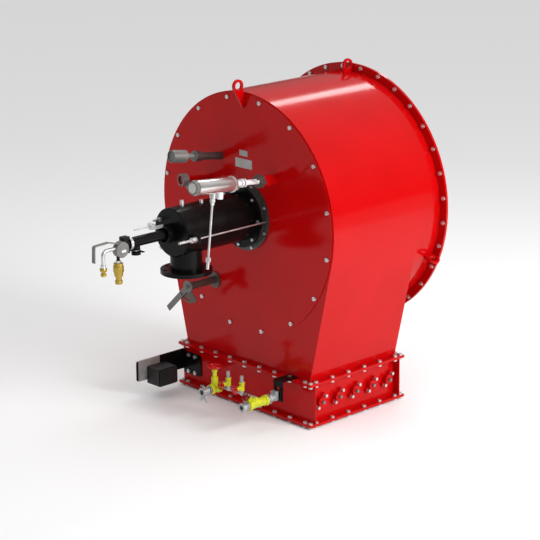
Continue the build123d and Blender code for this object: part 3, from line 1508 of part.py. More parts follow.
with BuildPart() as lance_couplings:
    fuel_end = downward_plane(fuel_pipe_x, fuel_pipe_front_ahead, fuel_pipe_end_z)
    step(fuel_end, 0, fuel_neck_height, fuel_pipe_radius + fuel_neck_wall)
    step(fuel_end, fuel_neck_height, fuel_ball_height, fuel_pipe_radius + fuel_ball_wall)
    step(fuel_end, fuel_neck_height + fuel_ball_height, fuel_neck_height, fuel_pipe_radius + fuel_neck_wall)
    step(fuel_end, 2 * fuel_neck_height + fuel_ball_height, fuel_tail_height, fuel_pipe_radius + fuel_tail_wall)
    stem_end = downward_plane(stem_x, stem_ahead, stem_end_z)
    step(stem_end, 0, coupling_body_height, stem_radius + coupling_body_wall)
    step(stem_end, coupling_body_height, coupling_foot_height, stem_radius + coupling_foot_wall)
    neck_start = coupling_body_height + coupling_foot_height
    step(stem_end, neck_start, coupling_neck_height, stem_radius + coupling_neck_wall)
    step(stem_end, neck_start + coupling_neck_height, coupling_tail_height, stem_radius + coupling_tail_wall)
save(lance_couplings, "lance_couplings")

with BuildPart() as lance_handle:
    with BuildLine(Plane.YZ.offset(fuel_pipe_x)) as handle_path:
        FilletPolyline(
            (-head_disc_ahead, handle_start_rise - head_disc_drop),
            (-head_disc_ahead - handle_corner_reach, handle_corner_rise - head_disc_drop),
            (-head_disc_ahead - handle_far_reach, handle_far_rise - head_disc_drop),
            (-head_disc_ahead - handle_far_reach - handle_tip_shift, -handle_tip_drop - head_disc_drop),
            radius=handle_bend,
        )
    with BuildSketch(Plane(origin=handle_path.line @ 0, x_dir=(1, 0, 0), z_dir=handle_path.line % 0)):
        Rectangle(handle_width, handle_thickness)
    sweep(path=handle_path.line)
    head_disc(mode=Mode.SUBTRACT)
save(lance_handle, "lance_handle")

# Clamp knob below the lance, with its washer tab
with BuildPart() as lance_knob:
    knob_place = downward_plane(0, knob_ahead, -lance_radius - yoke_saddle_drop - knob_gap)
    step(knob_place, 0, knob_washer_height, knob_washer_radius)
    with BuildSketch(knob_place):
        Rectangle(knob_tab_length, knob_tab_width, align=(Align.MIN, Align.CENTER))
    extrude(amount=knob_washer_height)
    step(knob_place, knob_washer_height, knob_neck_height, knob_neck_radius)
    step(knob_place, knob_washer_height + knob_neck_height, knob_height, knob_radius)
    step(knob_place, -knob_stem_depth, knob_stem_depth, knob_stem_radius)
save(lance_knob, "lance_knob")

# Stubs and swing bolt on the housing, stud on the end plate, and the arm on the lance's collar
swing_x = (housing_radius + swing_bolt_gap + swing_bolt_radius) * sin(radians(swing_bolt_turn))
swing_z = (housing_radius + swing_bolt_gap + swing_bolt_radius) * cos(radians(swing_bolt_turn))
swing_front_ahead = housing_front_ahead - swing_bolt_front_gap
swing_nut_start = swing_front_ahead - swing_nut_setback - swing_nut_length
swing_place = Plane.XZ.shift_origin((swing_x, 0, swing_z))
arm_low_z = lance_radius + collar_bore_gap
block_middle_ahead = collar_front_ahead + arm_length - block_side / 2
block_high_z = arm_low_z + arm_height + block_rise
with BuildPart() as housing_fittings:
    for x, setback, height in (
        (front_stub_x, front_stub_setback, front_stub_height),
        (rear_stub_x, rear_stub_setback, rear_stub_height),
    ):
        with BuildSketch(Plane.XY.offset(housing_radius + height)):
            with Locations((x, setback - housing_front_ahead)):
                Circle(stub_radius)
        extrude(amount=-height - stub_radius)
    step(swing_place, swing_front_ahead - swing_bolt_length, swing_bolt_length, swing_bolt_radius)
    with BuildSketch(swing_place.offset(swing_nut_start)):
        hexagons(swing_nut_flats)
    extrude(amount=swing_nut_length)
    with BuildSketch(Plane.XZ.offset(swing_nut_start - swing_lug_length)):
        with Locations(Location((0, 0), 90 - swing_bolt_turn)):
            with Locations((housing_radius - stub_radius, 0)):
                Rectangle(
                    stub_radius + swing_bolt_gap + 2 * swing_bolt_radius,
                    swing_nut_flats,
                    align=(Align.MIN, Align.CENTER),
                )
    extrude(amount=swing_lug_length)
    ball_end(swing_x, swing_front_ahead, swing_z, swing_ball_radius)
    with BuildSketch(Plane.XZ.offset(neck_front_ahead)):
        Circle(housing_radius)
    extrude(amount=housing_length, mode=Mode.SUBTRACT)
    stud_place = Plane.XZ.shift_origin((end_stud_x, 0, end_stud_z))
    step(stud_place, end_plate_front_ahead, end_stud_length, end_stud_radius)
    with BuildSketch(stud_place.offset(end_plate_front_ahead)):
        hexagons(swing_nut_flats)
    extrude(amount=end_stud_nut_height)
    with BuildSketch(Plane.XZ.offset(collar_front_ahead)):
        with Locations((0, arm_low_z + arm_height / 2)):
            Rectangle(arm_thickness, arm_height)
    extrude(amount=arm_length - block_side)
    with BuildSketch(Plane.XZ.offset(block_middle_ahead - block_side / 2)):
        with Locations((0, block_high_z - block_side / 2)):
            Rectangle(block_side, block_side)
    extrude(amount=block_side)
    ball_end(0, block_middle_ahead + block_side / 2, block_high_z, ball_radius)
    feeler_place = Plane.XZ.shift_origin((0, 0, block_high_z - feeler_drop))
    step(feeler_place, block_middle_ahead, feeler_length, feeler_radius)
save(housing_fittings, "housing_fittings")

# Fuel valve train in front of the damper box: the oil line stands left, the steam line right
oil_axis = Plane.XZ.shift_origin((oil_line_x, 0, train_z))
steam_axis = Plane.XZ.shift_origin((steam_line_x, 0, steam_line_z))
with BuildPart() as fuel_pipework:
    tee_half = cross_pipe_radius + cross_tee_margin
    step(oil_axis, cross_pipe_ahead - tee_half, 2 * tee_half, line_union_radius)
    step(oil_axis, cross_pipe_ahead, valve_back - cross_pipe_ahead, line_pipe_radius)
    step(oil_axis, valve_front, coupler_start - valve_front, line_pipe_radius)
    with BuildSketch(Plane.YZ.offset(oil_line_x)):
        with Locations((-cross_pipe_ahead, steam_line_z)):
            Circle(cross_pipe_radius)
    extrude(amount=steam_line_x - oil_line_x)
    with BuildSketch(Plane.XY.offset(steam_line_z)):
        with Locations((trim_left_x, -trim_valve_ahead), (trim_right_x, -trim_valve_ahead)):
            Circle(trim_pipe_radius)
    extrude(amount=trim_valve_z - trim_body_radius - steam_line_z)
    for x in (trim_left_x, trim_right_x):
        with BuildSketch(Plane.XY.offset(trim_top_z)):
            with Locations((x, -trim_valve_ahead)):
                Circle(trim_cap_radius)
        extrude(amount=trim_cap_height)
    step(steam_axis, steam_union_start, steam_union_length, steam_union_radius)
    step(steam_axis, steam_back_ahead, steam_tail_length, line_pipe_radius)
    with BuildSketch(steam_axis.offset(hanger_face_ahead + block_hanger_gap)):
        with Locations((0, steam_block_rise)):
            Rectangle(steam_block_side, steam_block_side + steam_block_rise)
    extrude(amount=steam_union_start - hanger_face_ahead - block_hanger_gap)
    with BuildSketch(steam_axis.offset(steam_body_back)):
        Circle(steam_body_radius)
    extrude(amount=coupler_start - steam_body_back, mode=Mode.SUBTRACT)
save(fuel_pipework, "fuel_pipework")

with BuildPart() as oil_valve:
    step(oil_axis, valve_back, 2 * valve_body_half, valve_body_radius)
    bonnet = Plane.XY.shift_origin((oil_line_x, -valve_ahead, 0))
    step(bonnet, train_z, bonnet_foot_height, line_union_radius)
    step(bonnet, train_z, oil_bonnet_rise, line_pipe_radius)
    with BuildSketch(bonnet.offset(bonnet_top_z)):
        Circle(oil_stem_radius + wheel_stem_gap)
    extrude(amount=-stem_bore_depth, mode=Mode.SUBTRACT)
save(oil_valve, "oil_valve")

with BuildPart() as oil_handwheel:
    handwheel(bonnet.offset(oil_wheel_z), oil_wheel_radius, oil_stem_radius, oil_wheel_gap + stem_depth)
save(oil_handwheel, "oil_handwheel")

# The steam line's valve has a long body with an inclined bonnet
steam_lean = radians(steam_wheel_tilt)
steam_stem = Plane(
    origin=(steam_line_x, -valve_ahead, steam_line_z),
    x_dir=(1, 0, 0),
    z_dir=(0, -sin(steam_lean), cos(steam_lean)),
)
with BuildPart() as steam_valve:
    step(steam_stem, 0, steam_bonnet_length, line_pipe_radius)
    step(steam_axis, steam_body_back, coupler_start - steam_body_back, steam_body_radius)
    drain = Plane(origin=(steam_line_x, -drain_ahead, steam_line_z), x_dir=(1, 0, 0), z_dir=steam_stem.z_dir)
    step(drain, 0, drain_length, drain_radius)
    with BuildSketch(steam_stem.offset(steam_bonnet_length)):
        Circle(oil_stem_radius + wheel_stem_gap)
    extrude(amount=-stem_bore_depth, mode=Mode.SUBTRACT)
save(steam_valve, "steam_valve")

with BuildPart() as steam_handwheel:
    steam_wheel_place = steam_stem.offset(steam_bonnet_length + steam_wheel_gap)
    handwheel(steam_wheel_place, steam_wheel_radius, oil_stem_radius, steam_wheel_gap + stem_depth)
save(steam_handwheel, "steam_handwheel")

with BuildPart() as hose_couplers:
    for axis in (oil_axis, steam_axis):
        step(axis, coupler_start, coupler_length, coupler_radius)
        with BuildSketch(axis.offset(coupler_mouth_ahead - coupler_lip_length)):
            Circle(coupler_radius + coupler_lip_step)
        extrude(amount=coupler_lip_length)
    foot_start = coupler_mouth_ahead - coupler_lip_length - foot_sheet
    with BuildSketch(oil_axis.offset(foot_start)):
        Polygon(
            (-foot_top_half, -coupler_radius / 2),
            (-foot_spread, -foot_drop),
            (-foot_spread + foot_leg_width, -foot_drop),
            (0, -coupler_radius - foot_leg_width),
            (foot_spread - foot_leg_width, -foot_drop),
            (foot_spread, -foot_drop),
            (foot_top_half, -coupler_radius / 2),
            align=None,
        )
        with Locations((0, coupler_radius)):
            Rectangle(coupler_ear_width, 2 * coupler_ear_reach)
    extrude(amount=foot_sheet)
    for axis in (oil_axis, steam_axis):
        with BuildSketch(axis.offset(coupler_mouth_ahead)):
            Circle(coupler_bore_radius)
        extrude(amount=-coupler_bore_depth, mode=Mode.SUBTRACT)
save(hose_couplers, "hose_couplers")

# Two angle valves with horizontal bonnets on the cross pipe
with BuildPart() as trim_valves:
    for x in (trim_left_x, trim_right_x):
        body_place = Plane.XY.shift_origin((x, -trim_valve_ahead, 0))
        step(body_place, trim_valve_z - trim_body_radius, trim_body_height, trim_body_radius)
        trim_axis = Plane.XZ.shift_origin((x, 0, trim_valve_z))
        step(trim_axis, trim_valve_ahead, trim_bonnet_length, trim_bonnet_radius)
        with BuildSketch(trim_axis.offset(trim_bonnet_ahead)):
            Circle(trim_stem_radius + wheel_stem_gap)
        extrude(amount=-stem_bore_depth, mode=Mode.SUBTRACT)
save(trim_valves, "trim_valves")

for x, name in ((trim_left_x, "trim_handwheel_left"), (trim_right_x, "trim_handwheel_right")):
    with BuildPart() as trim_handwheel:
        wheel_place = Plane.XZ.shift_origin((x, 0, trim_valve_z)).offset(trim_wheel_ahead)
        handwheel(wheel_place, trim_wheel_radius, trim_stem_radius, trim_wheel_gap + stem_depth)
    save(trim_handwheel, name)

# Sheet brackets: one carries the actuator, the other hangs the valve train from the upper flange
with BuildPart() as steel_brackets:
    with BuildSketch(Plane.YZ.offset(-bearing_face_x)):
        with Locations((-body_length - bracket_length / 2, shaft_z + bracket_wall_rise)):
            RectangleRounded(bracket_length, bracket_wall_height, bracket_corner)
        with Locations((-actuator_shaft_ahead, shaft_z)):
            Circle(actuator_shaft_radius + screw_clearance, mode=Mode.SUBTRACT)
    extrude(amount=-bracket_sheet)
    with BuildSketch(Plane.XZ.offset(body_length)):
        with Locations((bracket_foot_x, bracket_foot_z)):
            RectangleRounded(bracket_foot_width, bracket_foot_height, bracket_corner)
    extrude(amount=bracket_sheet)
    with BuildSketch(Plane.XY.offset(base_flange_top_z)):
        with Locations((hanger_x, -hanger_face_ahead)):
            Rectangle(hanger_width, hanger_reach + hanger_lap, align=(Align.CENTER, Align.MIN))
        with Locations((front_columns[hanger_column], duct_centre_y - flange_bolt_half_y)):
            Circle(hanger_head_hole_radius, mode=Mode.SUBTRACT)
    extrude(amount=hanger_sheet)
    with BuildSketch(Plane.XZ.offset(hanger_face_ahead - hanger_sheet)):
        with Locations((hanger_x, base_flange_top_z)):
            Rectangle(hanger_width, hanger_drop, align=(Align.CENTER, Align.MAX))
        with Locations((hanger_x, base_flange_top_z - hanger_hole_drop)):
            Circle(hanger_hole_radius, mode=Mode.SUBTRACT)
        with Locations((steam_line_x, steam_line_z)):
            Circle(line_pipe_radius, mode=Mode.SUBTRACT)
    extrude(amount=hanger_sheet)
save(steel_brackets, "steel_brackets")
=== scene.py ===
# %% [markdown]
# # Industrial burner for a boiler front
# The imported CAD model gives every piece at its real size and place. This script
# loads it as a fixed frame, gives each surface its finish, and adds the small
# turned fittings that the eye expects: nuts, caps, collars, couplings, washers and
# domed screws. Lengths are metres, +Z is up and the front faces -Y.

# %% Load the frame
import bmesh
import bpy
from math import cos, pi, radians, sin
from mathutils import Matrix, Vector


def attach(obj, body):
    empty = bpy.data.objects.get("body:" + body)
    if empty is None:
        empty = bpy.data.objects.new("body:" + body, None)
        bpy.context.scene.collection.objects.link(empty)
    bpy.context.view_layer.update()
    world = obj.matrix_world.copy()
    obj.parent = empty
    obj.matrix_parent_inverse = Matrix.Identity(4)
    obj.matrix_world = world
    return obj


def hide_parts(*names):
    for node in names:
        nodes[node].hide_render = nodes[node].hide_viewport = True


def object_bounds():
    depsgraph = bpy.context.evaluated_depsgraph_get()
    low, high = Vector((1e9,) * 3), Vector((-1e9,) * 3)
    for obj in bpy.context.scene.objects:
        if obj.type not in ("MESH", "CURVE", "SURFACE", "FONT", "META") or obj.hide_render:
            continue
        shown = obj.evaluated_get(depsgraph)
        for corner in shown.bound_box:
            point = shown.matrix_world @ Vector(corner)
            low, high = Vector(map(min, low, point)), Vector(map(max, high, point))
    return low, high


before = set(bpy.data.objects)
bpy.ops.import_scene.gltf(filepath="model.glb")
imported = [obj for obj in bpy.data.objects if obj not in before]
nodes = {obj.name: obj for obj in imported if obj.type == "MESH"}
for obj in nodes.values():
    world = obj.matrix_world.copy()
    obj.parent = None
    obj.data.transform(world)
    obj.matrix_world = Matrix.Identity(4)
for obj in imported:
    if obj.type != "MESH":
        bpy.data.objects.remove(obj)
cad_low, cad_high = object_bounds()
print("CAD box:", [round(v, 3) for v in cad_low], [round(v, 3) for v in cad_high])

# %% [markdown]
# ## Camera
# The photograph was taken from the front right, a little above the burner. The
# viewing angle, distance and focal length were solved from its round flanges.
# The picture's centre lies beside the lens axis, so the camera is shifted.

# %% Camera
PICTURE_SIZE = 540
SENSOR_WIDTH = 36.0
AZIMUTH, ELEVATION, DISTANCE = radians(44.957), radians(15.072), 13.367
FOCAL_PIXELS = 2079.5
AXIS_PIXEL_X, AXIS_PIXEL_Y = 338.07, 225.67
LOOK_AT = Vector((0.0, -0.1411, -0.2231))
FARTHEST_VIEW = 100.0

toward_camera = Vector((sin(AZIMUTH) * cos(ELEVATION), -cos(AZIMUTH) * cos(ELEVATION), sin(ELEVATION)))
camera_data = bpy.data.cameras.new("camera")
camera_data.sensor_width = SENSOR_WIDTH
camera_data.lens = FOCAL_PIXELS / PICTURE_SIZE * SENSOR_WIDTH
camera_data.shift_x = -(AXIS_PIXEL_X - PICTURE_SIZE / 2) / PICTURE_SIZE
camera_data.shift_y = -(PICTURE_SIZE / 2 - AXIS_PIXEL_Y) / PICTURE_SIZE
camera_data.clip_end = FARTHEST_VIEW
camera = bpy.data.objects.new("camera", camera_data)
camera.location = LOOK_AT + DISTANCE * toward_camera
camera.rotation_euler = (-toward_camera).to_track_quat("-Z", "Y").to_euler()
bpy.context.scene.collection.objects.link(camera)
bpy.context.scene.camera = camera
print("camera lens", round(camera_data.lens, 1), "mm, shift",
      round(camera_data.shift_x, 3), round(camera_data.shift_y, 3))

# %% [markdown]
# ## Studio
# The burner stands on a plain pale floor. The main light comes from the right, so
# the faces that look to the front stay deep red. A long lamp behind the burner
# makes the bright band on top of the round body, and a pale sky fills the rest.

# %% Studio helpers
def plain_material(name, colour, roughness):
    """A surface of one even tone, for the floor."""
    material = bpy.data.materials.new(name)
    material.use_nodes = True
    shader = material.node_tree.nodes["Principled BSDF"]
    shader.inputs["Base Color"].default_value = (*colour, 1.0)
    shader.inputs["Roughness"].default_value = roughness
    return material


def soft_light(name, place, aim, size, power, long_side=(0, 0, 1)):
    """Rectangular lamp whose second size runs along the given direction."""
    data = bpy.data.lights.new(name, "AREA")
    data.shape = "RECTANGLE"
    data.size, data.size_y = size
    data.energy = power
    back = (Vector(place) - Vector(aim)).normalized()
    side = Vector(long_side).cross(back).normalized()
    turn = Matrix((side, back.cross(side), back)).transposed().to_4x4()
    light = bpy.data.objects.new(name, data)
    light.matrix_world = Matrix.Translation(place) @ turn
    bpy.context.scene.collection.objects.link(light)


# %% [markdown]
# The floor lies at the foot of the burner, and is wide enough to fill the picture.

# %% Floor
FLOOR_REACH = 40.0
FLOOR_TONE, FLOOR_ROUGHNESS = (0.95, 0.95, 0.95), 0.9

floor_mesh = bpy.data.meshes.new("floor")
floor_turns = [(-1, -1), (1, -1), (1, 1), (-1, 1)]
floor_mesh.from_pydata([(x * FLOOR_REACH, y * FLOOR_REACH, cad_low.z) for x, y in floor_turns], [], [(0, 1, 2, 3)])
floor = bpy.data.objects.new("floor", floor_mesh)
bpy.context.scene.collection.objects.link(floor)
floor.data.materials.append(plain_material("pale_floor", FLOOR_TONE, FLOOR_ROUGHNESS))

# %% [markdown]
# Four lamps, each with its place, the point it looks at, its size and its power.

# %% Lamps
RIGHT_POWER, LOW_POWER = 400, 25
BAND_POWER, TOP_POWER = 37, 23
ALONG_BODY = (0, 1, 0)

soft_light("right_light", (6.5, 0.6, 2.6), (0.4, -0.5, -0.2), (3.0, 3.0), RIGHT_POWER)
soft_light("low_right_light", (6.0, -0.8, 0.2), (0.4, -0.5, -0.6), (2.5, 2.5), LOW_POWER)
soft_light("band_light", (-1.6, 2.4, 3.3), (0.2, -0.5, 0.75), (0.5, 2.6), BAND_POWER, ALONG_BODY)
soft_light("top_light", (0.5, -1.0, 5.0), (0.2, -0.8, 0), (4.0, 4.0), TOP_POWER, ALONG_BODY)

# %% [markdown]
# The sky is dim at the horizon and bright overhead, so upright faces get less of it.

# %% Sky
SKY_LOW, SKY_HIGH = 0.116, 0.995

world = bpy.data.worlds.new("studio")
world.use_nodes = True
world_nodes, world_links = world.node_tree.nodes, world.node_tree.links
sky_place = world_nodes.new("ShaderNodeTexCoord")
sky_height = world_nodes.new("ShaderNodeSeparateXYZ")
sky_ramp = world_nodes.new("ShaderNodeValToRGB")
sky_share = SKY_LOW / SKY_HIGH
sky_ramp.color_ramp.elements[0].color = (sky_share, sky_share, sky_share, 1.0)
sky_ramp.color_ramp.elements[1].color = (1.0, 1.0, 1.0, 1.0)
world_links.new(sky_place.outputs["Generated"], sky_height.inputs["Vector"])
world_links.new(sky_height.outputs["Z"], sky_ramp.inputs["Fac"])
world_links.new(sky_ramp.outputs["Color"], world_nodes["Background"].inputs["Color"])
world_nodes["Background"].inputs["Strength"].default_value = SKY_HIGH
bpy.context.scene.world = world
bpy.context.scene.view_settings.view_transform = "Standard"
print("studio ready, floor at z", round(cad_low.z, 3))

# %% [markdown]
# ## Finishes
# Each finish is made of nodes: a noise on Object coordinates shifts the colour
# a little and changes the gloss with it, and a fine one gives the surface its
# grain through a bump. Numbers that hold everywhere stand on the shader itself.

# %% Finish helper
PATCH_DETAIL = 4.0
DARK_UP_TO, LIGHT_FROM = 0.35, 0.65
BUMP_STRENGTH = 0.4


def finish(name, light_colour, dark_colour, roughness, metallic=0.0, patch=3.0,
           grain=400.0, grain_depth=0.0001, shine=0.3):
    """A surface with soft patches of two near tones, uneven gloss and fine grain."""
    material = bpy.data.materials.new(name)
    material.use_nodes = True
    tree = material.node_tree
    shader = tree.nodes["Principled BSDF"]
    shader.inputs["Metallic"].default_value = metallic
    shader.inputs["Specular IOR Level"].default_value = shine
    place = tree.nodes.new("ShaderNodeTexCoord")
    patches = tree.nodes.new("ShaderNodeTexNoise")
    patches.inputs["Scale"].default_value = patch
    patches.inputs["Detail"].default_value = PATCH_DETAIL
    tones = tree.nodes.new("ShaderNodeValToRGB")
    tones.color_ramp.elements[0].position = DARK_UP_TO
    tones.color_ramp.elements[0].color = (*dark_colour, 1.0)
    tones.color_ramp.elements[1].position = LIGHT_FROM
    tones.color_ramp.elements[1].color = (*light_colour, 1.0)
    gloss = tree.nodes.new("ShaderNodeMapRange")
    gloss.inputs["To Min"].default_value, gloss.inputs["To Max"].default_value = roughness
    fine = tree.nodes.new("ShaderNodeTexNoise")
    fine.inputs["Scale"].default_value = grain
    bump = tree.nodes.new("ShaderNodeBump")
    bump.inputs["Strength"].default_value = BUMP_STRENGTH
    bump.inputs["Distance"].default_value = grain_depth
    tree.links.new(place.outputs["Object"], patches.inputs["Vector"])
    tree.links.new(place.outputs["Object"], fine.inputs["Vector"])
    tree.links.new(patches.outputs["Fac"], tones.inputs["Fac"])
    tree.links.new(tones.outputs["Color"], shader.inputs["Base Color"])
    tree.links.new(patches.outputs["Fac"], gloss.inputs["Value"])
    tree.links.new(gloss.outputs["Result"], shader.inputs["Roughness"])
    tree.links.new(fine.outputs["Fac"], bump.inputs["Height"])
    tree.links.new(bump.outputs["Normal"], shader.inputs["Normal"])
    return material


# %% [markdown]
# Paints and plastics come first: light tone, dark tone, then the span of roughness.

# %% Paints, plastic and glass
red_paint = finish("red_paint", (0.50, 0.002, 0.003), (0.46, 0.0015, 0.002), (0.10, 0.16),
                   grain=90.0, shine=0.16)
black_paint = finish("black_paint", (0.006, 0.005, 0.005), (0.003, 0.003, 0.003), (0.2, 0.3),
                     patch=8.0, shine=0.12)
black_plastic = finish("black_plastic", (0.014, 0.014, 0.013), (0.009, 0.009, 0.009), (0.4, 0.5),
                       patch=12.0, grain=900.0, shine=0.25)
yellow_body = finish("yellow_valve_body", (0.62, 0.62, 0.02), (0.46, 0.47, 0.012), (0.3, 0.42),
                     patch=25.0, grain=500.0)
wheel_red = finish("wheel_red", (0.62, 0.004, 0.008), (0.45, 0.002, 0.004), (0.25, 0.35), patch=20.0)
dark_wheel_red = finish("dark_wheel_red", (0.22, 0.003, 0.003), (0.15, 0.002, 0.002), (0.25, 0.35), patch=20.0)
glass = finish("sight_glass_clear", (0.80, 0.88, 0.88), (0.76, 0.86, 0.86), (0.02, 0.04),
               grain_depth=0.0, shine=0.5)
glass.node_tree.nodes["Principled BSDF"].inputs["Transmission Weight"].default_value = 0.9

# %% [markdown]
# The metals follow. The fifth value says how metallic the surface is.

# %% Metals
zinc = finish("zinc_plate", (0.70, 0.70, 0.70), (0.58, 0.58, 0.58), (0.25, 0.35), 0.85, patch=20.0, grain=700.0)
steel = finish("sheet_steel", (0.24, 0.24, 0.23), (0.18, 0.18, 0.17), (0.35, 0.45), 0.6, patch=5.0, grain=300.0)
dark_steel = finish("dark_tube_steel", (0.13, 0.10, 0.09), (0.09, 0.07, 0.065), (0.3, 0.4), 0.5,
                    patch=12.0, grain=500.0)
ring_grey = finish("machined_ring", (0.11, 0.105, 0.10), (0.07, 0.068, 0.065), (0.25, 0.4), 0.5,
                   patch=14.0, grain=500.0)
case_silver = finish("igniter_silver", (0.78, 0.77, 0.75), (0.70, 0.69, 0.67), (0.16, 0.22), 0.9,
                     patch=10.0, grain=800.0)
cap_grey = finish("cap_grey", (0.20, 0.20, 0.195), (0.16, 0.16, 0.155), (0.35, 0.45), 0.3, patch=18.0)
white_pipe = finish("white_pipe", (0.80, 0.78, 0.80), (0.72, 0.70, 0.72), (0.25, 0.35), 0.1, patch=18.0)
brass = finish("brass", (0.52, 0.37, 0.07), (0.40, 0.27, 0.045), (0.28, 0.4), 0.75, patch=20.0, grain=600.0)
aluminium = finish("plate_aluminium", (0.46, 0.43, 0.42), (0.38, 0.36, 0.35), (0.28, 0.4), 0.5,
                   patch=18.0, grain=700.0)
coupler_grey = finish("coupler_grey", (0.44, 0.45, 0.46), (0.34, 0.35, 0.36), (0.3, 0.42), 0.6,
                      patch=18.0, grain=600.0)
lever_grey = finish("lever_grey", (0.22, 0.22, 0.21), (0.17, 0.17, 0.165), (0.35, 0.5), 0.4, patch=9.0)

# %% [markdown]
# Every CAD node gets one finish. The print at the end has to name no node.

# %% Give the CAD nodes their finish
finish_of = {
    red_paint: ["windbox_shell", "rear_flange", "front_cover", "lifting_lugs", "damper_box",
                "duct_counter_flange", "damper_bearings", "igniter_socket", "sight_tube"],
    black_paint: ["gas_housing", "gas_inlet_flange", "housing_end_plate", "lance_tube", "lance_head",
                  "steel_brackets", "lance_knob"],
    black_plastic: ["actuator"],
    steel: ["gas_pipe", "swirler", "air_throat", "air_shutter"] + [f"damper_blade_{n}" for n in range(1, 6)],
    dark_steel: ["quadrant", "scanner_tube", "igniter_clamp", "igniter_lever"],
    lever_grey: ["quadrant_lever", "scanner_head", "lance_handle"],
    zinc: ["rear_flange_bolts", "flange_screws", "bearing_screws", "housing_screws", "link_bar",
           "actuator_crank", "setting_rod", "housing_fittings", "pilot_pipe", "fuel_pipe"],
    case_silver: ["igniter_case"],
    white_pipe: ["igniter_lance"],
    aluminium: ["blank_plates", "actuator_mounting_plate"],
    coupler_grey: ["hose_couplers", "fuel_pipework"],
    ring_grey: ["housing_ring"],
    brass: ["lance_couplings", "oil_nozzle"],
    yellow_body: ["oil_valve", "steam_valve", "trim_valves"],
    wheel_red: ["oil_handwheel", "trim_handwheel_left", "trim_handwheel_right"],
    dark_wheel_red: ["steam_handwheel"],
    glass: ["sight_glass"],
}
for material, names in finish_of.items():
    for name in names:
        nodes[name].data.materials.clear()
        nodes[name].data.materials.append(material)
unfinished = set(nodes) - {name for names in finish_of.values() for name in names}
print("nodes without a finish:", sorted(unfinished))

# %% [markdown]
# ## Smooth rolled and turned surfaces
# The CAD meshes are loose flat triangles. A small node tree joins them and smooths
# each edge that turns by less than the given angle, so the round body looks rolled.

# %% Tree of the smooth shading
SMOOTH_ANGLE = radians(25)
JOIN_DISTANCE = 0.00001


def smooth_by_angle_tree():
    """Node tree that joins touching corners and keeps only the real edges sharp."""
    tree = bpy.data.node_groups.new("smooth_by_angle", "GeometryNodeTree")
    tree.interface.new_socket("Geometry", in_out="INPUT", socket_type="NodeSocketGeometry")
    angle_socket = tree.interface.new_socket("Edge angle", in_out="INPUT", socket_type="NodeSocketFloat")
    angle_socket.default_value = SMOOTH_ANGLE
    tree.interface.new_socket("Geometry", in_out="OUTPUT", socket_type="NodeSocketGeometry")
    new, link = tree.nodes.new, tree.links.new
    inputs, result = new("NodeGroupInput"), new("NodeGroupOutput")
    merge = new("GeometryNodeMergeByDistance")
    merge.inputs["Distance"].default_value = JOIN_DISTANCE
    faces, edges = new("GeometryNodeSetShadeSmooth"), new("GeometryNodeSetShadeSmooth")
    edges.domain = "EDGE"
    angle, soft = new("GeometryNodeInputMeshEdgeAngle"), new("FunctionNodeCompare")
    soft.operation = "LESS_THAN"
    link(inputs.outputs["Geometry"], merge.inputs["Geometry"])
    link(merge.outputs["Geometry"], faces.inputs["Geometry"])
    link(faces.outputs["Geometry"], edges.inputs["Geometry"])
    link(angle.outputs["Unsigned Angle"], soft.inputs["A"])
    link(inputs.outputs["Edge angle"], soft.inputs["B"])
    link(soft.outputs["Result"], edges.inputs["Shade Smooth"])
    link(edges.outputs["Geometry"], result.inputs["Geometry"])
    return tree


# %% [markdown]
# Only the nodes that arrive flat need it. Weighted normals keep their flat sides flat.

# %% Smooth shading of the CAD nodes
smooth_tree = smooth_by_angle_tree()
flat_nodes = [name for name in nodes if not nodes[name].data.polygons[0].use_smooth]
for name in flat_nodes:
    nodes[name].modifiers.new("smooth_by_angle", "NODES").node_group = smooth_tree
    weighted = nodes[name].modifiers.new("weighted_normals", "WEIGHTED_NORMAL")
    weighted.keep_sharp = True
print("smoothed nodes:", flat_nodes)

# %% [markdown]
# ## Turned pieces
# Many fittings are turned on a lathe. `turned` takes outlines of (distance along
# the axis, radius, number of the finish) and turns each about the axis of its
# place. With six or eight sides the same outline makes a nut.

# %% Places and pieces
PIECE_EDGE_ANGLE = radians(35)


def place_along(origin, direction, side=(0, 0, 1)):
    """Place whose Z axis points along a direction."""
    z_axis = Vector(direction).normalized()
    x_axis = Vector(side).cross(z_axis)
    if x_axis.length < 1e-6:
        x_axis = Vector((1, 0, 0))
    x_axis.normalize()
    y_axis = z_axis.cross(x_axis)
    place = Matrix((x_axis, y_axis, z_axis)).transposed().to_4x4()
    place.translation = Vector(origin)
    return place


def add_piece(name, mesh, body, finishes):
    """Give a mesh its finishes and smooth shading, and let it ride on its body."""
    for material in finishes:
        mesh.materials.append(material)
    mesh.shade_smooth()
    mesh.set_sharp_from_angle(angle=PIECE_EDGE_ANGLE)
    piece = bpy.data.objects.new(name, mesh)
    bpy.context.scene.collection.objects.link(piece)
    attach(piece, body)
    return piece


# %% [markdown]
# `turn_outline` sets a ring of corners at each station and joins ring to ring. A
# station on the axis is a single corner, so the ends close as a fan.

# %% Turn an outline
def turn_outline(bm, place, outline, sides):
    """Add one turned solid to a bmesh."""
    turns = [2 * pi * step / sides for step in range(sides)]
    rings = []
    for along, radius, _ in outline:
        ring_turns = turns if radius else turns[:1]
        rings.append([bm.verts.new(place @ Vector((radius * cos(t), radius * sin(t), along)))
                      for t in ring_turns])
    for first, second, (_, _, slot_number) in zip(rings, rings[1:], outline[1:]):
        for step in range(sides):
            around = ((first, step), (first, step + 1), (second, step + 1), (second, step))
            corners = list(dict.fromkeys(ring[s % len(ring)] for ring, s in around))
            if len(corners) > 2:
                bm.faces.new(corners).material_index = slot_number


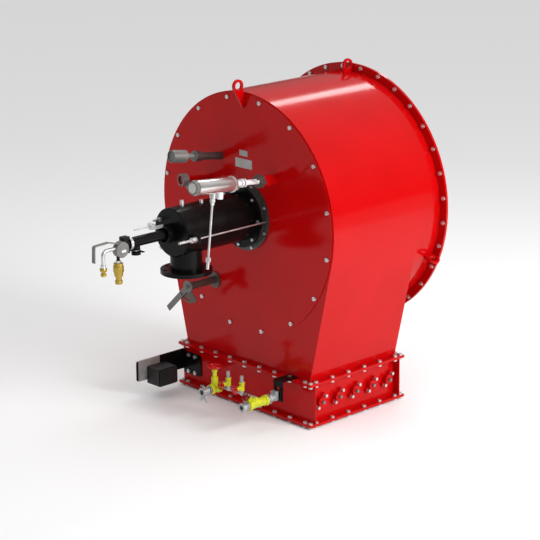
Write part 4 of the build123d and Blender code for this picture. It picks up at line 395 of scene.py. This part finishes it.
def turned(name, body, solids, finishes, replaces=()):
    """One piece of several turned solids: each is (place, outline, sides)."""
    bm = bmesh.new()
    for place, outline, sides in solids:
        turn_outline(bm, place, outline, sides)
    bmesh.ops.recalc_face_normals(bm, faces=bm.faces)
    mesh = bpy.data.meshes.new(name)
    bm.to_mesh(mesh)
    bm.free()
    piece = add_piece(name, mesh, body, finishes)
    if replaces:
        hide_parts(*replaces)
    print(name, len(mesh.polygons), "faces on", body)


# %% [markdown]
# Three outlines come up again and again: stations in one finish, a plain disc, and
# a nut with its corners turned off.

# %% Common outlines
FIRST_FINISH, SECOND_FINISH, THIRD_FINISH = range(3)
HEXAGON, OCTAGON = 6, 8
NUT_EDGE_SHARE = 0.12


def profile(slot_number, *stations):
    """Outline through (distance along the axis, radius) stations in one finish."""
    return [(along, radius, slot_number) for along, radius in stations]


def disc(start, end, radius, slot_number=FIRST_FINISH):
    """Outline of a plain disc."""
    return profile(slot_number, (start, 0), (start, radius), (end, radius), (end, 0))


def nut(start, length, across_flats):
    """Outline of a nut with its corners turned off."""
    corner = across_flats / 2 / cos(pi / HEXAGON)
    edge = NUT_EDGE_SHARE * across_flats
    end = start + length
    return profile(FIRST_FINISH, (start, 0), (start, corner - edge / 2), (start + edge / 3, corner),
                   (end - edge / 3, corner), (end, corner - edge / 2), (end, 0))


# %% [markdown]
# ## Igniter
# The silver case has a rim at its foot and a grey cap at its end, with a boss for
# the cable on the cap's side. A dark ring sits on the white pipe behind the case.
# Distances run along the igniter's own axis, from the front cover outward.

# %% Igniter case
COVER_FACE = -0.95
IGNITER_REACH = 0.26857
IGNITER_DIRECTION = (0.124003, -0.984503, 0.124003)
CASE_START, CASE_END, CASE_RADIUS = 0.394, 0.722, 0.045
RIM_RADIUS, CAP_RADIUS, CAP_END = 0.049, 0.0395, 0.747
BOSS_STATION, BOSS_RADIUS = 0.735, 0.012

igniter_place = place_along((IGNITER_REACH, COVER_FACE, IGNITER_REACH), IGNITER_DIRECTION)
boss_place = place_along(igniter_place @ Vector((0, 0, BOSS_STATION)), (-0.75, 0, -0.05))
case_outline = profile(FIRST_FINISH, (CASE_START, 0.0165), (CASE_START, 0.046), (0.396, RIM_RADIUS),
                       (0.402, RIM_RADIUS), (0.404, CASE_RADIUS), (0.718, CASE_RADIUS), (CASE_END, 0.0435))
cap_outline = profile(SECOND_FINISH, (CASE_END, CAP_RADIUS), (0.744, CAP_RADIUS), (CAP_END, 0.037),
                      (CAP_END, 0.030), (0.745, 0.029), (0.745, 0))
boss_outline = profile(SECOND_FINISH, (0.02, 0), (0.02, BOSS_RADIUS), (0.05, BOSS_RADIUS), (0.052, 0.0105),
                       (0.056, 0.0105), (0.056, 0.006), (0.050, 0.005), (0.050, 0))
turned("igniter_case_dressed", "igniter", [
    (igniter_place, case_outline + cap_outline, 64),
    (boss_place, boss_outline, 24),
    (igniter_place, disc(0.300, 0.306, 0.0275, THIRD_FINISH), 40),
], [case_silver, cap_grey, dark_steel])

# %% [markdown]
# The pilot pipe hangs from a gland under the case. A second white cap sits beside it.

# %% Pilot gland
GLAND_STATION, SECOND_CAP_STATION = 0.560, 0.500

case_direction = igniter_place.to_3x3() @ Vector((0, 0, 1))
straight_down = Vector((0.0, 0.0, -1.0))
pilot_down = (straight_down - case_direction * straight_down.dot(case_direction)).normalized()
gland_place = place_along(igniter_place @ Vector((0, 0, GLAND_STATION)), pilot_down)
second_cap_place = place_along(igniter_place @ Vector((0, 0, SECOND_CAP_STATION)), pilot_down)
gland_outline = profile(FIRST_FINISH, (0.040, 0), (0.040, 0.020), (0.060, 0.020), (0.063, 0.016),
                        (0.071, 0.016), (0.071, 0))
second_cap_outline = profile(SECOND_FINISH, (0.040, 0), (0.040, 0.021), (0.078, 0.021), (0.081, 0.018), (0.081, 0))
turned("pilot_gland", "igniter", [
    (gland_place, gland_outline, 32),
    (gland_place, nut(0.074, 0.020, 0.030), HEXAGON),
    (gland_place, nut(0.098, 0.014, 0.022), HEXAGON),
    (second_cap_place, second_cap_outline, 32),
], [zinc, white_pipe])

# %% [markdown]
# ## Sight tube
# A grey flange with three small screws holds the glass at the end of the red tube.

# %% Sight flange
SIGHT_FOOT, SIGHT_TILT = Vector((-0.3255, 0, 0.1802)), radians(8.0)
SIGHT_SCREW_CIRCLE, SIGHT_SCREW_TURNS = 0.034, (0.5, 2.6, 4.7)
SIGHT_FACE = 0.2125

sight_lean = SIGHT_FOOT.normalized() * sin(SIGHT_TILT)
sight_place = place_along((SIGHT_FOOT.x, COVER_FACE, SIGHT_FOOT.z),
                          Vector((sight_lean.x, -cos(SIGHT_TILT), sight_lean.z)))
sight_direction = sight_place.to_3x3() @ Vector((0, 0, 1))
sight_outline = profile(FIRST_FINISH, (0.171, 0.0175), (0.171, 0.0385), (0.173, 0.0405), (0.211, 0.0405),
                        (0.2135, 0.0385), (0.2135, 0.029), (0.206, 0.027), (0.203, 0.0262))
sight_solids = [(sight_place, sight_outline, 56)]
for t in SIGHT_SCREW_TURNS:
    screw_foot = sight_place @ Vector((SIGHT_SCREW_CIRCLE * cos(t), SIGHT_SCREW_CIRCLE * sin(t), SIGHT_FACE))
    sight_solids.append((place_along(screw_foot, sight_direction), nut(0, 0.004, 0.0065), HEXAGON))
turned("sight_flange_dressed", "burner", sight_solids, [cap_grey])

# %% [markdown]
# ## Lance head
# Two brass couplings hang below the lance head, each from its silver nut. The
# outlines run downward from the joint of pipe and coupling.

# %% Brass couplings
fuel_place = place_along((0.012, -2.072, -0.099), (0, 0, -1))
stem_place = place_along((0.014, -1.962, -0.098), (0, 0, -1))
small_coupling = profile(FIRST_FINISH, (0.008, 0), (0.008, 0.0185), (0.014, 0.0215), (0.022, 0.0215),
                         (0.030, 0.017), (0.034, 0.011), (0.038, 0.011), (0.044, 0.017), (0.055, 0.017),
                         (0.058, 0.014), (0.058, 0))
large_coupling = profile(FIRST_FINISH, (0.0, 0), (0.0, 0.028), (0.016, 0.028), (0.017, 0.031), (0.052, 0.031),
                         (0.060, 0.026), (0.074, 0.026), (0.088, 0.018), (0.100, 0.0165), (0.106, 0.022),
                         (0.120, 0.022), (0.126, 0.020), (0.126, 0))
small_nut = profile(SECOND_FINISH, (-0.010, 0.0125), (-0.010, 0.0155), (0.008, 0.0155), (0.008, 0.015))
large_nut = profile(SECOND_FINISH, (-0.014, 0.0105), (-0.014, 0.0165), (0.0, 0.0165), (0.0, 0.0))
turned("lance_couplings_dressed", "lance", [
    (fuel_place, small_nut, 36),
    (fuel_place, small_coupling, 40),
    (stem_place, large_nut, HEXAGON),
    (stem_place, large_coupling, 48),
], [brass, zinc], replaces=["lance_couplings"])

# %% [markdown]
# The manifold is a grey disc, with a silver band on the yoke ring behind it and a
# washer above the clamp knob.

# %% Manifold disc, band and washer
disc_place = place_along((-0.0055, -1.940, -0.020), (1, 0, 0))
band_place = place_along((0, 0, 0), (0, -1, 0))
washer_place = place_along((0, -1.816, -0.0478), (0, 0, -1))
manifold_outline = profile(FIRST_FINISH, (-0.0005, 0), (-0.0005, 0.046), (0.001, 0.048), (0.0355, 0.048),
                           (0.037, 0.046), (0.037, 0))
band_outline = profile(SECOND_FINISH, (1.8615, 0.040), (1.8615, 0.0415), (1.8785, 0.0415), (1.8785, 0.040))
turned("lance_head_disc", "lance", [
    (disc_place, manifold_outline, 56),
    (band_place, band_outline, 56),
    (washer_place, disc(0.0, 0.0038, 0.027, SECOND_FINISH), 40),
], [lever_grey, zinc])

# %% [markdown]
# A small bare plate is fixed on the disc. It carries no text.

# %% Bare plate of the manifold
PLATE_CENTRE, PLATE_SIZE = (0.032, -1.932, -0.030), (0.0016, 0.032, 0.013)
PLATE_EDGE = 0.0005

bm = bmesh.new()
bmesh.ops.create_cube(bm, size=1.0, matrix=Matrix.Translation(PLATE_CENTRE) @ Matrix.Diagonal((*PLATE_SIZE, 1)))
bmesh.ops.bevel(bm, geom=bm.edges, offset=PLATE_EDGE, segments=2, affect="EDGES")
plate_mesh = bpy.data.meshes.new("manifold_plate")
bm.to_mesh(plate_mesh)
bm.free()
add_piece("manifold_plate", plate_mesh, "lance", [case_silver])
print("manifold_plate", len(plate_mesh.polygons), "faces on lance")

# %% [markdown]
# ## Valve train
# The yellow valves have octagon ends and nuts on their bonnets. Places run forward
# along the two lines, upward over the oil valve, and aslant over the steam valve.

# %% Places of the valve train
OIL_X, STEAM_X, TRIM_XS = 0.04, 0.40, (0.105, 0.228)
OIL_Z, STEAM_Z, TRIM_Z = -1.040, -1.048, -1.003
BONNET_Y, DRAIN_Y, TRIM_Y = -1.253, -1.222, -1.200
FORWARD, UPWARD, ASLANT = (0, -1, 0), (0, 0, 1), (0, -1, 1)

oil_line = place_along((OIL_X, 0, OIL_Z), FORWARD)
steam_line = place_along((STEAM_X, 0, STEAM_Z), FORWARD)
oil_bonnet = place_along((OIL_X, BONNET_Y, OIL_Z), UPWARD)
steam_bonnet = place_along((STEAM_X, BONNET_Y, STEAM_Z), ASLANT)
steam_drain = place_along((STEAM_X, DRAIN_Y, STEAM_Z), ASLANT)
trim_lines = [place_along((x, 0, TRIM_Z), FORWARD) for x in TRIM_XS]
trim_tops = [place_along((x, TRIM_Y, 0), UPWARD) for x in TRIM_XS]

# %% [markdown]
# Each nut is given by where it starts along its place, its length and its width.

# %% Yellow nuts and bonnet
bonnet_outline = profile(FIRST_FINISH, (0.020, 0), (0.020, 0.024), (0.034, 0.024), (0.052, 0.0155), (0.052, 0))
valve_solids = [
    (oil_line, nut(1.214, 0.016, 0.058), OCTAGON),
    (oil_line, nut(1.277, 0.016, 0.058), OCTAGON),
    (oil_bonnet, bonnet_outline, 32),
    (oil_bonnet, nut(0.040, 0.016, 0.034), HEXAGON),
    (oil_bonnet, nut(0.108, 0.014, 0.030), HEXAGON),
    (steam_line, nut(1.158, 0.020, 0.060), OCTAGON),
    (steam_line, nut(1.292, 0.018, 0.060), OCTAGON),
    (steam_bonnet, nut(0.028, 0.016, 0.036), HEXAGON),
    (steam_bonnet, nut(0.058, 0.013, 0.030), HEXAGON),
    (steam_drain, nut(0.030, 0.016, 0.028), HEXAGON),
]
valve_solids += [(line, nut(1.214, 0.012, 0.026), HEXAGON) for line in trim_lines]
valve_solids += [(line, nut(1.235, 0.009, 0.022), HEXAGON) for line in trim_lines]
valve_solids += [(top, nut(-0.975, 0.009, 0.034), HEXAGON) for top in trim_tops]
turned("valve_nuts", "burner", valve_solids, [yellow_body])

# %% [markdown]
# The grey line has a nut before each main valve, a collar behind each hose coupler
# and a thin ring under each cap of the trim valves.

# %% Grey nuts, collars and rings
line_solids = [
    (oil_line, nut(1.160, 0.022, 0.046), HEXAGON),
    (steam_line, nut(1.126, 0.018, 0.054), HEXAGON),
    (oil_line, disc(1.300, 1.306, 0.0285), 40),
    (steam_line, disc(1.320, 1.327, 0.0275), 40),
]
line_solids += [(top, disc(-0.967, -0.962, 0.0135), 28) for top in trim_tops]
turned("line_nuts", "burner", line_solids, [coupler_grey])

# %% [markdown]
# ## Screws
# The CAD has plain hexagon heads. A Geometry Nodes tree puts a washer below each
# head and a dome on it, at the places read from the CAD heads themselves.

# %% Read the solids of a node
def island_around(start):
    """All corners that hang together with one corner of a mesh."""
    island, to_visit = {start}, [start]
    while to_visit:
        vert = to_visit.pop()
        for other in (edge.other_vert(vert) for edge in vert.link_edges):
            if other not in island:
                island.add(other)
                to_visit.append(other)
    return island


def solid_boxes(node_name):
    """Low and high corner of each separate solid in a CAD node."""
    bm = bmesh.new()
    bm.from_mesh(nodes[node_name].data)
    bmesh.ops.remove_doubles(bm, verts=bm.verts, dist=1e-6)
    seen, boxes = set(), []
    for vert in bm.verts:
        if vert not in seen:
            island = island_around(vert)
            seen |= island
            boxes.append((Vector([min(v.co[i] for v in island) for i in range(3)]),
                          Vector([max(v.co[i] for v in island) for i in range(3)])))
    bm.free()
    return boxes


# %% [markdown]
# A head on the front points forward. A head that lies flat on one of the box's two
# flanges points up or down, and the bearings' heads point out to their own side.

# %% Places of the heads
BOX_TOP, BOX_FOOT, FOOT_BAND = -0.957, -1.217, 0.06
FLAT_HEAD_SPAN, LONGEST_HEAD = 0.015, 0.03
TO_FRONT = Vector((0, -1, 0))


def front_or_flat(centre, reach):
    """Direction of a head on the cover, or on the damper box's flanges."""
    if reach.y <= FLAT_HEAD_SPAN:
        return TO_FRONT
    looks_up = centre.z > BOX_TOP or BOX_FOOT < centre.z < BOX_FOOT + FOOT_BAND
    return Vector((0, 0, 1 if looks_up else -1))


def to_front(centre, reach):
    """Direction of a head on the gas housing."""
    return TO_FRONT


def to_own_side(centre, reach):
    """Direction of a head on a damper bearing."""
    return Vector((1 if centre.x > 0 else -1, 0, 0))


def screw_heads(node_name, flats, direction):
    """(middle of the head's foot, direction, height, width over flats) of a node's screws."""
    found = []
    for low, high in solid_boxes(node_name):
        centre, reach = (low + high) / 2, high - low
        outward = direction(centre, reach)
        height = abs(reach.dot(outward))
        if height < LONGEST_HEAD:
            found.append((centre - outward * height / 2, outward, height, flats))
    return found


# %% [markdown]
# The rear flange's screws are long, so only their front heads are dressed. The two
# blank plates get a small rivet in each corner.

# %% All heads
M16_FLATS, HOUSING_FLATS, BEARING_FLATS = 0.024, 0.017, 0.018
REAR_HEAD_HEIGHT = 0.010
RIVET_WIDTH, PLATE_FACE = 0.006, -0.952
UPPER_PLATE_RIVETS = (-0.005, 0.387, 0.031, 0.0125)
LOWER_PLATE_RIVETS = (-0.004, 0.323, 0.068, 0.0225)

heads = screw_heads("flange_screws", M16_FLATS, front_or_flat)
heads += screw_heads("housing_screws", HOUSING_FLATS, to_front)
heads += screw_heads("bearing_screws", BEARING_FLATS, to_own_side)
rear_boxes = solid_boxes("rear_flange_bolts")
rear_front = min(low.y for low, high in rear_boxes)
for low, high in rear_boxes:
    foot = Vector(((low.x + high.x) / 2, rear_front + REAR_HEAD_HEIGHT, (low.z + high.z) / 2))
    heads.append((foot, TO_FRONT, REAR_HEAD_HEIGHT, M16_FLATS))
for x, z, half_length, half_height in (UPPER_PLATE_RIVETS, LOWER_PLATE_RIVETS):
    for i, j in ((-1, -1), (-1, 1), (1, -1), (1, 1)):
        heads.append((Vector((x + i * half_length, PLATE_FACE, z + j * half_height)), TO_FRONT, 0.0, RIVET_WIDTH))
print("screw heads:", len(heads))

# %% [markdown]
# The tree's four sizes are shares of the width over flats, which each point carries
# with its direction and the rise of its head.

# %% Helpers of the screw tree
WASHER_SIDES, DOME_SEGMENTS, DOME_RINGS = 20, 14, 8
SCREW_SHARES = (("Washer width", 1.28), ("Washer thickness", 0.12), ("Dome width", 0.94), ("Dome height", 0.30))


def named_attribute(tree, label, kind):
    """Value that each point carries under a name."""
    node = tree.nodes.new("GeometryNodeInputNamedAttribute")
    node.data_type = kind
    node.inputs["Name"].default_value = label
    return node.outputs["Attribute"]


def half_of(tree, value):
    """Half of a width, as a radius."""
    half = tree.nodes.new("ShaderNodeMath")
    half.operation = "MULTIPLY"
    half.inputs[1].default_value = 0.5
    tree.links.new(value, half.inputs[0])
    return half.outputs[0]


def washer_shape(tree, inputs):
    """A thin round washer."""
    washer = tree.nodes.new("GeometryNodeMeshCylinder")
    washer.inputs["Vertices"].default_value = WASHER_SIDES
    tree.links.new(half_of(tree, inputs.outputs["Washer width"]), washer.inputs["Radius"])
    tree.links.new(inputs.outputs["Washer thickness"], washer.inputs["Depth"])
    return washer.outputs["Mesh"]


def dome_shape(tree, inputs):
    """A ball, flattened to the dome's height and shaded smooth."""
    new, link = tree.nodes.new, tree.links.new
    dome = new("GeometryNodeMeshUVSphere")
    dome.inputs["Segments"].default_value = DOME_SEGMENTS
    dome.inputs["Rings"].default_value = DOME_RINGS
    link(half_of(tree, inputs.outputs["Dome width"]), dome.inputs["Radius"])
    ratio = new("ShaderNodeMath")
    ratio.operation = "DIVIDE"
    link(inputs.outputs["Dome height"], ratio.inputs[0])
    link(half_of(tree, inputs.outputs["Dome width"]), ratio.inputs[1])
    scale = new("ShaderNodeCombineXYZ")
    scale.inputs["X"].default_value = scale.inputs["Y"].default_value = 1.0
    link(ratio.outputs[0], scale.inputs["Z"])
    flattened = new("GeometryNodeTransform")
    link(dome.outputs["Mesh"], flattened.inputs["Geometry"])
    link(scale.outputs["Vector"], flattened.inputs["Scale"])
    smooth = new("GeometryNodeSetShadeSmooth")
    link(flattened.outputs["Geometry"], smooth.inputs["Geometry"])
    return smooth.outputs["Geometry"]


# %% [markdown]
# The washers stand on the points themselves, and the domes on points lifted by the
# height of the head.

# %% Tree of the domed screws
def domed_screw_tree():
    """Node tree with a washer and a dome at every point, and the socket of its finish."""
    tree = bpy.data.node_groups.new("domed_screws", "GeometryNodeTree")
    tree.interface.new_socket("Geometry", in_out="INPUT", socket_type="NodeSocketGeometry")
    for label, share in SCREW_SHARES:
        tree.interface.new_socket(label, in_out="INPUT", socket_type="NodeSocketFloat").default_value = share
    finish_socket = tree.interface.new_socket("Finish", in_out="INPUT", socket_type="NodeSocketMaterial")
    tree.interface.new_socket("Geometry", in_out="OUTPUT", socket_type="NodeSocketGeometry")
    new, link = tree.nodes.new, tree.links.new
    inputs, result = new("NodeGroupInput"), new("NodeGroupOutput")
    outward = named_attribute(tree, "outward", "FLOAT_VECTOR")
    upright = new("FunctionNodeAlignRotationToVector")
    upright.axis = "Z"
    link(outward, upright.inputs["Vector"])
    lift = new("ShaderNodeVectorMath")
    lift.operation = "SCALE"
    link(outward, lift.inputs[0])
    link(named_attribute(tree, "rise", "FLOAT"), lift.inputs["Scale"])
    tops = new("GeometryNodeSetPosition")
    link(inputs.outputs["Geometry"], tops.inputs["Geometry"])
    link(lift.outputs["Vector"], tops.inputs["Offset"])
    join = new("GeometryNodeJoinGeometry")
    for points, shape in ((inputs.outputs["Geometry"], washer_shape(tree, inputs)),
                          (tops.outputs["Geometry"], dome_shape(tree, inputs))):
        stamp = new("GeometryNodeInstanceOnPoints")
        link(points, stamp.inputs["Points"])
        link(shape, stamp.inputs["Instance"])
        link(upright.outputs["Rotation"], stamp.inputs["Rotation"])
        link(named_attribute(tree, "flats", "FLOAT"), stamp.inputs["Scale"])
        link(stamp.outputs["Instances"], join.inputs["Geometry"])
    realize, paint = new("GeometryNodeRealizeInstances"), new("GeometryNodeSetMaterial")
    link(join.outputs["Geometry"], realize.inputs["Geometry"])
    link(realize.outputs["Geometry"], paint.inputs["Geometry"])
    link(inputs.outputs["Finish"], paint.inputs["Material"])
    link(paint.outputs["Geometry"], result.inputs["Geometry"])
    return tree, finish_socket.identifier


# %% [markdown]
# The points are stamped once, and the result becomes a plain mesh on the burner.

# %% Stamp the screws
screw_tree, finish_identifier = domed_screw_tree()
points = bpy.data.meshes.new("screw_places")
points.from_pydata([foot for foot, _, _, _ in heads], [], [])
outward_values = points.attributes.new("outward", "FLOAT_VECTOR", "POINT")
rise_values = points.attributes.new("rise", "FLOAT", "POINT")
flats_values = points.attributes.new("flats", "FLOAT", "POINT")
for index, (_, outward, height, flats) in enumerate(heads):
    outward_values.data[index].vector = outward
    rise_values.data[index].value = height
    flats_values.data[index].value = flats
stamp_object = bpy.data.objects.new("screw_stamps", points)
bpy.context.scene.collection.objects.link(stamp_object)
stamping = stamp_object.modifiers.new("domed_screws", "NODES")
stamping.node_group = screw_tree
stamping[finish_identifier] = zinc
bpy.context.view_layer.update()
evaluated = stamp_object.evaluated_get(bpy.context.evaluated_depsgraph_get())
screw_mesh = bpy.data.meshes.new_from_object(evaluated)
bpy.data.objects.remove(stamp_object)
screw_mesh.name = "screw_domes"
screw_mesh.materials.clear()
screw_mesh.materials.append(zinc)
screw_mesh.polygons.foreach_set("material_index", [0] * len(screw_mesh.polygons))
screw_domes = bpy.data.objects.new("screw_domes", screw_mesh)
bpy.context.scene.collection.objects.link(screw_domes)
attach(screw_domes, "burner")
print("screw_domes", len(screw_mesh.polygons), "faces")
